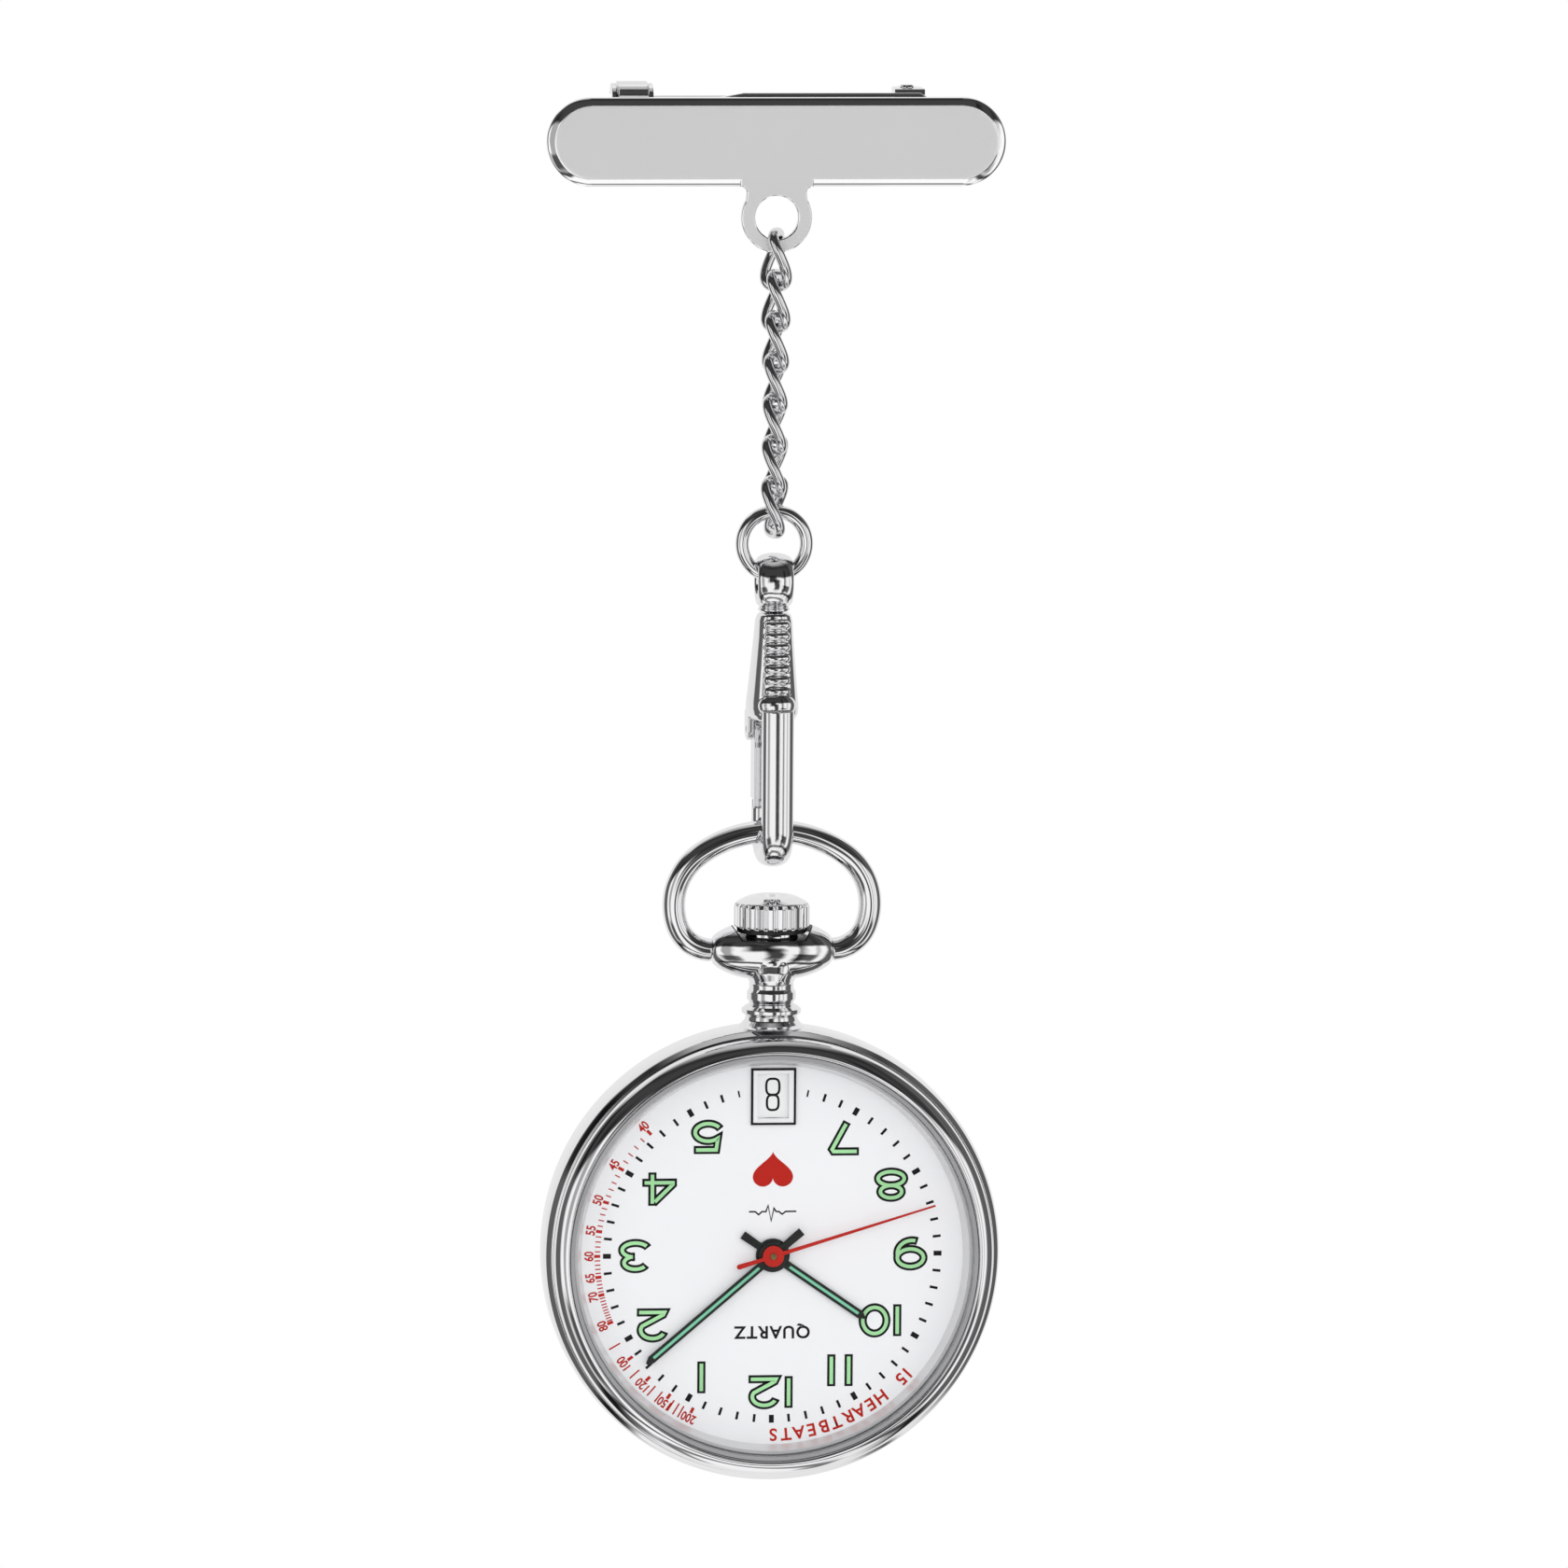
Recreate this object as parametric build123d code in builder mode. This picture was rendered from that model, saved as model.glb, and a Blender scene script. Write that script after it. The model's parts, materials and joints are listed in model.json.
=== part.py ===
from build123d import *
import math
import os

# Fob watch: brooch bar with safety-catch needle, curb chain, jump ring,
# swivel snap hook, oval bow, pendant and crown, and a round quartz watch
# that hangs with 12 at the bottom.
# Millimetres, +Z up. The front faces -Y. The origin lies on the axis of the
# brooch needle, at the middle of its free span.

os.makedirs("parts", exist_ok=True)

# ---------------------------------------------------------------- brooch ----
Y0 = -2.8                # middle plane of the ear, chain, bow and watch
BAR_W, BAR_H, BAR_T = 29.9, 5.8, 1.0
BAR_Z = -2.4
BAR_FRONT = -3.2
BAR_BACK = BAR_FRONT + BAR_T
EAR_Z, EAR_R, EAR_HOLE, EAR_T = -7.3, 2.3, 1.4, 0.8
STRIP_T = 0.5
NEEDLE_R = 0.4
HINGE_X = 8.75
NEEDLE_END = -11.3
CATCH_X = -9.2           # middle of the catch
# ----------------------------------------------------------------- chain ----
WIRE_D = 0.70            # link wire
LINK_A, LINK_W, LINK_P = 1.748, 1.0, 2.9   # half length, half width, fullness
LINK_TWIST = -46.0       # twist from the middle to each end
LINK_PITCH = 2.68
LINK_PSI = (-72.0, -80.0, -87.0, -93.0, -98.0, -102.0, -105.0)
LINK_N = 7
EAR_LOW = EAR_Z - EAR_HOLE                     # lower rim of the ear's hole
LINK1_Z = EAR_LOW + WIRE_D / 2 + 0.05 - LINK_A  # middle of the first link
# ------------------------------------------------------------- jump ring ----
RING_R, RING_r = 2.10, 0.44
RING_Z = -28.55
# ---------------------------------------------------------------- clasp -----
EYE_Z, EYE_R = -30.99, 1.35
CL_ROT = 5.0             # the clasp is turned this much on its swivel
GATE_Z, GATE_Y = -40.85, 1.72
HOOK_Z, HOOK_R = -47.24, 1.675
# ------------------------------------------------------------------ bow -----
BOW_r = 0.75
PIVOT_Z = -55.15
# ---------------------------------------------------------------- watch -----
ZC = -75.0               # centre of the watch
CASE_R = 15.0
CROWN_R, CROWN_TOP, CROWN_LOW = 2.45, -51.55, -53.95


def front_plane(y, z=0.0, x=0.0):
    """Sketch plane facing the back: local x is +X, local y is -Z."""
    return Plane(origin=(x, y, z), x_dir=(1, 0, 0), z_dir=(0, 1, 0))


def upright(x=0.0, y=Y0, z=0.0):
    """Sketch plane facing the front: local x is +X, local y is +Z."""
    return Plane(origin=(x, y, z), x_dir=(1, 0, 0), z_dir=(0, -1, 0))


def watch(s):
    """Sketch plane across the watch at depth s: local (x, down)."""
    return front_plane(Y0 + s, ZC)


RS = Plane(origin=(0, Y0, ZC), x_dir=(1, 0, 0), z_dir=(0, 0, 1))  # (r, s)
AX_W = Axis((0, Y0, ZC), (0, 1, 0))      # the watch's own axis
AX_V = Axis((0, Y0, 0), (0, 0, 1))       # the hanging axis

ca, sa = math.cos(math.radians(CL_ROT)), math.sin(math.radians(CL_ROT))


def clasp_side(t=0.0):
    """Side-profile plane of the clasp: local (back, up), t along its width."""
    return Plane(origin=(t * ca, Y0 + t * sa, 0), x_dir=(-sa, ca, 0), z_dir=(ca, sa, 0))


def clasp_level(z, y=0.0):
    """Level plane of the clasp: local (width, back)."""
    return Plane(origin=(-y * sa, Y0 + y * ca, z), x_dir=(ca, sa, 0), z_dir=(0, 0, 1))


# ================================================================ brooch ====
# Bar and ear are one stamping; the ear is thinner and flush at the front.
with BuildPart() as brooch_bar:
    with BuildSketch(front_plane(BAR_FRONT)) as sk:
        with Locations((0, -BAR_Z)):
            RectangleRounded(BAR_W, BAR_H, BAR_H / 2 - 0.02)
    extrude(amount=BAR_T)
    with BuildSketch(front_plane(BAR_FRONT)) as sk:
        with Locations((0, -EAR_Z)):
            Circle(EAR_R)
        with Locations((0, -(EAR_Z + 1.5))):
            Rectangle(3.9, 3.0)
        with BuildLine():
            Polyline((-2.35, 5.2), (-2.35, 5.31), (-1.94, 5.75), (1.94, 5.75),
                     (2.35, 5.31), (2.35, 5.2), close=True)
        make_face()
        with Locations((0, -EAR_Z)):
            Circle(EAR_HOLE, mode=Mode.SUBTRACT)
    extrude(amount=EAR_T)
    edge = brooch_bar.faces().sort_by(Axis.Y)[0].outer_wire().edges()
    chamfer(edge, 0.22)
brooch_bar.part.label = "brooch_bar"
export_step(brooch_bar.part, "parts/brooch_bar.step")

# Strip soldered to the back, with two hinge leaves.
with BuildPart() as pin_base:
    with BuildSketch(front_plane(BAR_BACK)) as sk:
        with BuildLine():
            Polyline((-12.0, -0.30), (-4.4, -0.30), (-2.1, -0.72), (9.4, -0.72),
                     (10.3, -0.2), (10.3, 1.3), (-12.0, 1.3), close=True)
        make_face()
    extrude(amount=STRIP_T)
    for z in (-0.95, 0.55):
        with BuildSketch(Plane.XY.offset(z)) as sk:
            with Locations((HINGE_X, 0)):
                Circle(0.98)
            with Locations((HINGE_X, -0.95)):
                Rectangle(1.96, 1.9)
            with Locations((HINGE_X, 0)):
                Circle(0.30, mode=Mode.SUBTRACT)
        extrude(amount=0.40)
pin_base.part.label = "pin_base"
export_step(pin_base.part, "parts/pin_base.step")

# Rivet through both leaves, headed at each end.
with BuildPart() as pin_rivet:
    with BuildSketch(Plane.XZ) as sk:
        with BuildLine():
            Polyline((HINGE_X, -1.12), (HINGE_X + 0.38, -1.12), (HINGE_X + 0.50, -0.95),
                     (HINGE_X + 0.30, -0.95), (HINGE_X + 0.30, 0.95), (HINGE_X + 0.50, 0.95),
                     (HINGE_X + 0.38, 1.12), (HINGE_X, 1.12), close=True)
        make_face()
    revolve(axis=Axis((HINGE_X, 0, 0), (0, 0, 1)))
pin_rivet.part.label = "pin_rivet"
export_step(pin_rivet.part, "parts/pin_rivet.step")

# Needle: flat eye on the rivet, straight shank, long point.
with BuildPart() as brooch_pin:
    with BuildSketch(Plane.XZ) as sk:
        with BuildLine():
            Polyline((HINGE_X - 0.55, 0), (HINGE_X - 0.55, 0.30), (7.4, NEEDLE_R),
                     (-7.4, NEEDLE_R), (-8.6, 0.37), (-10.6, 0.20), (NEEDLE_END, 0.05),
                     (NEEDLE_END, 0), close=True)
        make_face()
    revolve(axis=Axis.X)
    with BuildSketch(Plane.XY.offset(-0.48)) as sk:
        with Locations((HINGE_X, 0)):
            Circle(0.92)
    extrude(amount=0.96)
    with BuildSketch(Plane.XY.offset(-0.6)) as sk:
        with Locations((HINGE_X, 0)):
            Circle(0.34)
    extrude(amount=1.2, mode=Mode.SUBTRACT)
brooch_pin.part.label = "brooch_pin"
export_step(brooch_pin.part, "parts/brooch_pin.step")

# Catch: open ring on a foot.
YZ_CATCH = Plane(origin=(CATCH_X - 1.0, 0, 0), x_dir=(0, 1, 0), z_dir=(1, 0, 0))
with BuildPart() as pin_catch:
    with BuildSketch(YZ_CATCH) as sk:
        Circle(1.36)
        with Locations((-1.2, 0)):
            Rectangle(1.0, 1.9)
        Circle(0.93, mode=Mode.SUBTRACT)
        with Locations((1.0, 0)):
            Rectangle(2.0, 0.98, mode=Mode.SUBTRACT)
    extrude(amount=2.0)
pin_catch.part.label = "pin_catch"
export_step(pin_catch.part, "parts/pin_catch.step")

# Rotor: slotted tube with a flange at each end and a thumb tab.
YZ_ROT = Plane(origin=(CATCH_X - 1.35, 0, 0), x_dir=(0, 1, 0), z_dir=(1, 0, 0))
with BuildPart() as catch_rotor:
    with BuildSketch(YZ_ROT) as sk:
        Circle(0.88)
    extrude(amount=2.7)
    with BuildSketch(YZ_ROT) as sk:
        Circle(1.22)
    extrude(amount=0.31)
    with BuildSketch(YZ_ROT.offset(2.39)) as sk:
        Circle(1.22)
    extrude(amount=0.31)
    with BuildSketch(YZ_ROT) as sk:
        with Locations(Location((0, 0, 0), (0, 0, -62))):
            with Locations((1.55, 0)):
                RectangleRounded(1.5, 0.62, 0.2)
    extrude(amount=0.31)
    with BuildSketch(YZ_ROT.offset(-0.1)) as sk:
        Circle(0.46)
        with Locations((1.0, 0)):
            Rectangle(2.0, 0.92)
    extrude(amount=3.0, mode=Mode.SUBTRACT)
catch_rotor.part.label = "catch_rotor"
export_step(catch_rotor.part, "parts/catch_rotor.step")


# ================================================================= chain ====
def link_curve(i, n=16):
    """Centre line of link i: a superellipse twisted about the hanging axis."""
    zc = LINK1_Z - i * LINK_PITCH
    psi = LINK_PSI[i]
    pts = []
    for k in range(n):
        t = 2 * math.pi * k / n + math.pi / n
        c, s = math.cos(t), math.sin(t)
        u = LINK_W * math.copysign(abs(c) ** (2 / LINK_P), c)
        v = LINK_A * math.copysign(abs(s) ** (2 / LINK_P), s)
        f = math.radians(psi + LINK_TWIST * v / LINK_A)
        pts.append(Vector(u * math.cos(f), Y0 + u * math.sin(f), zc + v))
    return Edge.make_spline(pts, periodic=True)


for i in range(LINK_N):
    curve = link_curve(i)
    halves = [curve.trim(0.0, 0.5), curve.trim(0.5, 1.0)]
    with BuildPart() as chain_link:
        for e in halves:
            with BuildSketch(Plane(origin=e @ 0, z_dir=e % 0)) as sk:
                Circle(WIRE_D / 2)
            sweep(path=e)
    chain_link.part.label = f"chain_link_{i + 1}"
    export_step(chain_link.part, f"parts/chain_link_{i + 1}.step")
    want = math.pi * (WIRE_D / 2) ** 2 * curve.length
    print("link", i + 1, "volume", round(chain_link.part.volume, 4), "section x length", round(want, 4))

with BuildPart() as jump_ring:
    with BuildSketch(upright(RING_R, Y0, RING_Z).rotated((-90, 0, 0))) as sk:
        Circle(RING_r)
    revolve(axis=Axis((0, Y0, RING_Z), (0, 1, 0)))
jump_ring.part.label = "jump_ring"
export_step(jump_ring.part, "parts/jump_ring.step")

# Swivel eye: rounded band around the ring, collar, stem and captive flange.
with BuildPart() as swivel_eye:
    with BuildSketch(upright(0, Y0, EYE_Z)) as sk:
        with Locations((0, EYE_R)):
            Ellipse(1.17, 0.50)
    revolve(axis=Axis((0, Y0, EYE_Z), (1, 0, 0)))
    with BuildSketch(upright()) as sk:
        with BuildLine():
            Polyline((0, EYE_Z - EYE_R - 0.1), (0.80, EYE_Z - EYE_R - 0.1), (0.86, -32.66),
                     (1.04, -32.72), (1.04, -32.90), (0.58, -32.96), (0.58, -34.30),
                     (0.92, -34.30), (0.92, -34.70), (0, -34.70), close=True)
        make_face()
    revolve(axis=AX_V)
swivel_eye.part.label = "swivel_eye"
export_step(swivel_eye.part, "parts/swivel_eye.step")

# Clasp: deepening barrel, ribbed front, spine and hook, cheeks for the gate.
with BuildPart() as clasp_body:
    for z, w, d, yc, r in ((-33.02, 1.9, 2.2, -0.15, 0.80), (-33.55, 2.4, 2.75, 0.0, 1.05),
                           (-38.7, 3.0, 3.9, 0.38, 1.25), (-39.5, 3.0, 4.1, 0.42, 1.25),
                           (-40.05, 2.5, 3.7, 0.30, 1.05)):
        with BuildSketch(clasp_level(z, yc)) as sk:
            RectangleRounded(w, d, r)
    loft(ruled=True)
    # ribs across the front
    for k in range(7):
        with BuildSketch(clasp_side(-1.0)) as sk:
            with Locations((-1.33 - 0.02 * k, -33.75 - 0.72 * k)):
                Circle(0.34)
        extrude(amount=2.0)
    # spine, hook and tip in one sweep
    with BuildSketch(clasp_level(-39.6, -HOOK_R)) as sk:
        RectangleRounded(2.10, 1.45, 0.60)
    with BuildLine(clasp_side()) as hook_path:
        l1 = Line((-HOOK_R, -39.6), (-HOOK_R, HOOK_Z))
        a1 = CenterArc((0, HOOK_Z), HOOK_R, 180, 180)
        l2 = Line((HOOK_R, HOOK_Z), (HOOK_R, -45.45))
    sweep(path=hook_path.wires()[0])
    # cheeks either side of the gate
    for t in (-1.44, 1.06):
        with BuildSketch(clasp_side(t)) as sk:
            with Locations((GATE_Y, GATE_Z)):
                Circle(0.72)
            with Locations((GATE_Y, GATE_Z + 0.6)):
                Rectangle(1.44, 1.2)
        extrude(amount=0.38)
    # lap for the gate's tongue
    with BuildSketch(clasp_side(-1.5)) as sk:
        with Locations((1.19, -45.7)):
            Rectangle(0.7, 0.62)
    extrude(amount=3.0, mode=Mode.SUBTRACT)
    # bore for the swivel stem and room for its flange
    with BuildSketch(clasp_level(-35.0)) as sk:
        Circle(0.98)
    extrude(amount=0.75, mode=Mode.SUBTRACT)
    with BuildSketch(clasp_level(-35.0)) as sk:
        Circle(0.62)
    extrude(amount=3.0, mode=Mode.SUBTRACT)
    # pin hole and a pocket for the gate's head
    with BuildSketch(clasp_side(-2.0)) as sk:
        with Locations((GATE_Y, GATE_Z)):
            Circle(0.30)
    extrude(amount=4.0, mode=Mode.SUBTRACT)
    with BuildSketch(clasp_side(-1.06)) as sk:
        with Locations((GATE_Y, GATE_Z)):
            Circle(0.86)
    extrude(amount=2.12, mode=Mode.SUBTRACT)
clasp_body.part.label = "clasp_body"
export_step(clasp_body.part, "parts/clasp_body.step")

# Gate: head round the pin, thumb bar, tongue that laps inside the tip.
with BuildPart() as clasp_gate:
    with BuildSketch(clasp_side(-1.02)) as sk:
        with Locations((GATE_Y, GATE_Z)):
            Circle(0.70)
        with BuildLine():
            Polyline((1.05, GATE_Z), (0.97, -42.0), (0.97, -45.90), (1.48, -45.90), (1.48, -45.42),
                     (2.36, -45.42), (2.42, GATE_Z), close=True)
        make_face()
    extrude(amount=2.04)
    with BuildSketch(clasp_side(-1.2)) as sk:
        with Locations((GATE_Y, GATE_Z)):
            Circle(0.34)
    extrude(amount=2.4, mode=Mode.SUBTRACT)
    # room for the torsion spring
    with BuildSketch(clasp_side(-0.48)) as sk:
        with Locations((GATE_Y, GATE_Z)):
            Circle(0.86)
    extrude(amount=0.96, mode=Mode.SUBTRACT)
clasp_gate.part.label = "clasp_gate"
export_step(clasp_gate.part, "parts/clasp_gate.step")

with BuildPart() as gate_pin:
    with BuildSketch(clasp_side(-1.44)) as sk:
        with Locations((GATE_Y, GATE_Z)):
            Circle(0.30)
    extrude(amount=2.88)
gate_pin.part.label = "gate_pin"
export_step(gate_pin.part, "parts/gate_pin.step")

# Torsion spring: three close turns about the pin.
with BuildPart() as gate_spring:
    for t in (-0.26, 0.0, 0.26):
        with BuildSketch(Plane(origin=(t * ca - GATE_Y * sa, Y0 + t * sa + GATE_Y * ca, GATE_Z),
                               x_dir=(ca, sa, 0), z_dir=(sa, -ca, 0))) as sk:
            with Locations((0, 0.56)):
                Circle(0.135)
        revolve(axis=Axis((-GATE_Y * sa, Y0 + GATE_Y * ca, GATE_Z), (ca, sa, 0)))
gate_spring.part.label = "gate_spring"
export_step(gate_spring.part, "parts/gate_spring.step")

# =================================================================== bow ====
# Centre line: five tangent arcs, (radius, turn in degrees), from lug to lug.
BOW_ARCS = [(2.40, 70), (4.0743, 75), (8.1830, 70), (4.0743, 75), (2.40, 70)]
with BuildPart() as bow:
    with BuildLine(upright()) as bow_path:
        x, z, head = -3.93, PIVOT_Z, math.pi
        for r, turn in BOW_ARCS:
            cx, cz = x + r * math.sin(head), z - r * math.cos(head)
            pts = []
            for f in (0, 0.5, 1):
                h = head - math.radians(turn) * f
                pts.append((cx - r * math.sin(h), cz + r * math.cos(h)))
            ThreePointArc(*pts)
            (x, z), head = pts[2], head - math.radians(turn)
    with BuildSketch(Plane(origin=(-3.93, Y0, PIVOT_Z), z_dir=(-1, 0, 0))) as sk:
        Circle(BOW_r)
    sweep(path=bow_path.wires()[0])
    with BuildSketch(Plane(origin=(-4.75, Y0, PIVOT_Z), z_dir=(1, 0, 0))) as sk:
        Circle(0.35)
    extrude(amount=9.5, mode=Mode.SUBTRACT)
bow.part.label = "bow"
export_step(bow.part, "parts/bow.step")

with BuildPart() as bow_pins:
    for x in (-4.75, 3.2):
        with BuildSketch(Plane(origin=(x, Y0, PIVOT_Z), z_dir=(1, 0, 0))) as sk:
            Circle(0.35)
        extrude(amount=1.55)
bow_pins.part.label = "bow_pins"
export_step(bow_pins.part, "parts/bow_pins.step")

# Pendant: post for the crown seal, spindle-shaped head, beaded neck, foot.
with BuildPart() as pendant:
    with BuildSketch(upright(0, Y0, PIVOT_Z)) as sk:
        with BuildLine():
            Polyline((-3.90, 0), (-3.90, 0.86), (-3.4, 1.234), (-2.8, 1.523), (-2.0, 1.773),
                     (-1.0, 1.946), (0, 2.0), (1.0, 1.946), (2.0, 1.773), (2.8, 1.523),
                     (3.4, 1.234), (3.90, 0.86), (3.90, 0), close=True)
        make_face()
    revolve(axis=Axis((0, Y0, PIVOT_Z), (1, 0, 0)))
    with BuildSketch(Plane.XY.offset(-54.02)) as sk:
        with Locations((0, Y0)):
            Rectangle(9.0, 5.0)
    extrude(amount=2.0, mode=Mode.SUBTRACT)
    with BuildSketch(upright()) as sk:
        with BuildLine():
            Polyline((0.5, -52.80), (1.15, -52.80), (1.15, -54.02), (1.90, -54.05), (2.00, -54.55),
                     (2.02, -55.15), (2.0, -55.80), (1.85, -56.50), (1.58, -57.10),
                     (1.44, -57.70), (1.56, -57.95), (1.56, -58.35), (1.43, -58.62),
                     (1.70, -58.80), (1.93, -59.0), (1.93, -59.25), (1.70, -59.45),
                     (1.80, -59.75), (2.32, -60.22), (1.28, -60.22), (1.28, -61.40),
                     (0.5, -61.40), close=True)
        make_face()
    revolve(axis=AX_V)
    with BuildSketch(Plane.XY.offset(-62.0)) as sk:
        with Locations((0, Y0)):
            Circle(0.5)
    extrude(amount=10.0, mode=Mode.SUBTRACT)
    for x in (-3.95, 3.1):
        with BuildSketch(Plane(origin=(x, Y0, PIVOT_Z), z_dir=(1, 0, 0))) as sk:
            Circle(0.39)
        extrude(amount=0.85, mode=Mode.SUBTRACT)
pendant.part.label = "pendant"
export_step(pendant.part, "parts/pendant.step")

# Crown: fluted rim, bevelled and slightly dished top, seal cavity.
with BuildPart() as crown:
    with BuildSketch(upright()) as sk:
        with BuildLine():
            Polyline((0, CROWN_TOP - 0.12), (1.2, CROWN_TOP - 0.08), (1.75, CROWN_TOP),
                     (2.0, CROWN_TOP - 0.08), (CROWN_R, -52.10), (CROWN_R, -53.62),
                     (2.30, -53.72), (2.30, CROWN_LOW), (1.72, CROWN_LOW), (1.72, -52.72),
                     (0.44, -52.72), (0.44, -52.40), (0, -52.40), close=True)
        make_face()
    revolve(axis=AX_V)
    with BuildSketch(Plane(origin=(0, Y0, -53.62))) as sk:
        with PolarLocations(CROWN_R + 0.05, 24):
            Circle(0.17)
    extrude(amount=1.75, mode=Mode.SUBTRACT)
crown.part.label = "crown"
export_step(crown.part, "parts/crown.step")

with BuildPart() as crown_gasket:
    with BuildSketch(upright()) as sk:
        with Locations((1.435, -53.60)):
            Circle(0.265)
    revolve(axis=AX_V)
crown_gasket.part.label = "crown_gasket"
export_step(crown_gasket.part, "parts/crown_gasket.step")

# Setting stem: shank, lever groove, pilot for the sliding pinion.
with BuildPart() as setting_stem:
    with BuildSketch(upright()) as sk:
        with BuildLine():
            Polyline((0, -52.42), (0.44, -52.42), (0.44, ZC + 10.86), (0.24, ZC + 10.86),
                     (0.24, ZC + 10.34), (0.44, ZC + 10.34), (0.44, ZC + 9.1), (0.30, ZC + 9.1),
                     (0.30, ZC + 7.7), (0, ZC + 7.7), close=True)
        make_face()
    revolve(axis=AX_V)
setting_stem.part.label = "setting_stem"
export_step(setting_stem.part, "parts/setting_stem.step")

# ================================================================== case ====
with BuildPart() as case_middle:
    with BuildSketch(RS) as sk:
        with BuildLine():
            Polyline((12.75, -2.10), (13.40, -2.10), (13.40, -2.46), (13.90, -2.46),
                     (13.90, -2.10), (14.58, -2.10), (14.86, -1.70), (14.97, -1.20),
                     (15.0, -0.6), (15.0, 0.8), (14.95, 1.4), (14.80, 1.9), (14.50, 2.40),
                     (13.52, 2.40), (13.52, 2.0), (13.08, 2.0), (13.08, 2.40), (12.75, 2.40), close=True)
        make_face()
    revolve(axis=AX_W)
    with BuildSketch(Plane(origin=(0, Y0, -62.7))) as sk:
        Circle(0.60)
    extrude(amount=3.0, mode=Mode.SUBTRACT)
    with BuildSketch(Plane(origin=(0, Y0, -61.45))) as sk:
        Circle(1.30)
    extrude(amount=2.0, mode=Mode.SUBTRACT)
    with BuildSketch(Plane(origin=(0, Y0, -60.23))) as sk:
        Circle(2.36)
    extrude(amount=1.0, mode=Mode.SUBTRACT)
case_middle.part.label = "case_middle"
export_step(case_middle.part, "parts/case_middle.step")

with BuildPart() as bezel:
    with BuildSketch(RS) as sk:
        with BuildLine():
            Polyline((13.05, -2.12), (13.37, -2.12), (13.37, -2.50), (13.93, -2.50), (13.93, -2.12),
                     (14.42, -2.12), (14.42, -2.65))
            ThreePointArc((14.42, -2.65), (14.28, -3.42), (13.90, -3.75))
            Polyline((13.90, -3.75), (13.55, -3.66), (13.37, -3.46), (13.37, -2.71), (13.05, -2.71),
                     (13.05, -2.12))
        make_face()
    revolve(axis=AX_W)
bezel.part.label = "bezel"
export_step(bezel.part, "parts/bezel.step")

with BuildPart() as crystal:
    with BuildSketch(RS) as sk:
        with BuildLine():
            Polyline((0, -4.05), (0, -2.72), (13.08, -2.72), (13.08, -3.48), (12.80, -3.72),
                     (10.6, -3.824), (8.0, -3.921), (5.0, -4.0), (2.0, -4.042), close=True)
        make_face()
    revolve(axis=AX_W)
crystal.part.label = "crystal"
export_step(crystal.part, "parts/crystal.step")

with BuildPart() as crystal_gasket:
    with BuildSketch(RS) as sk:
        with BuildLine():
            Polyline((13.10, -2.74), (13.35, -2.74), (13.35, -3.46), (13.10, -3.46), close=True)
        make_face()
    revolve(axis=AX_W)
crystal_gasket.part.label = "crystal_gasket"
export_step(crystal_gasket.part, "parts/crystal_gasket.step")

with BuildPart() as flange_ring:
    with BuildSketch(RS) as sk:
        with BuildLine():
            Polyline((12.50, -1.77), (12.72, -1.77), (12.72, -2.13), (13.03, -2.13),
                     (13.03, -2.70), (12.82, -2.70), close=True)
        make_face()
    revolve(axis=AX_W)
flange_ring.part.label = "flange_ring"
export_step(flange_ring.part, "parts/flange_ring.step")

# Dial with date window at 6 (up) and two feet.
DATE_V = -10.44
with BuildPart() as dial:
    with BuildSketch(watch(-1.75)) as sk:
        Circle(12.60)
        Circle(0.90, mode=Mode.SUBTRACT)
        with Locations((0, DATE_V)):
            Rectangle(2.05, 2.95, mode=Mode.SUBTRACT)
    extrude(amount=0.40)
    with BuildSketch(watch(-1.35)) as sk:
        with Locations((-11.52, 4.2), (11.52, -4.2)):
            Circle(0.16)
    extrude(amount=0.9)
dial.part.label = "dial"
export_step(dial.part, "parts/dial.step")

with BuildPart() as date_window_frame:
    with BuildSketch(watch(-1.90)) as sk:
        with Locations((0, DATE_V)):
            Rectangle(2.91, 3.70)
            Rectangle(2.10, 3.00, mode=Mode.SUBTRACT)
    extrude(amount=0.15)
    chamfer(date_window_frame.edges().group_by(Axis.Y)[0], 0.06)
date_window_frame.part.label = "date_window_frame"
export_step(date_window_frame.part, "parts/date_window_frame.step")

with BuildPart() as movement_holder:
    with BuildSketch(watch(-1.33)) as sk:
        Circle(12.70)
        Circle(12.26, mode=Mode.SUBTRACT)
    extrude(amount=3.15)
    with BuildSketch(Plane(origin=(0, Y0, -64.0))) as sk:
        Circle(0.65)
    extrude(amount=3.0, mode=Mode.SUBTRACT)
    with BuildSketch(watch(-1.4)) as sk:
        with Locations((-11.52, 4.2), (11.52, -4.2)):
            Circle(0.20)
    extrude(amount=1.5, mode=Mode.SUBTRACT)
movement_holder.part.label = "movement_holder"
export_step(movement_holder.part, "parts/movement_holder.step")

with BuildPart() as caseback:
    with BuildSketch(RS) as sk:
        with BuildLine():
            Polyline((0, 2.62), (12.2, 2.62), (12.2, 1.86), (12.72, 1.86), (12.72, 2.42), (14.46, 2.42),
                     (14.46, 2.70), (13.9, 3.05), (12.6, 3.40), (11.6, 3.60), (0, 3.60), close=True)
        make_face()
    revolve(axis=AX_W)
caseback.part.label = "caseback"
export_step(caseback.part, "parts/caseback.step")

with BuildPart() as caseback_gasket:
    with BuildSketch(RS) as sk:
        with Locations((13.30, 2.205)):
            Circle(0.195)
    revolve(axis=AX_W)
caseback_gasket.part.label = "caseback_gasket"
export_step(caseback_gasket.part, "parts/caseback_gasket.step")


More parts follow.
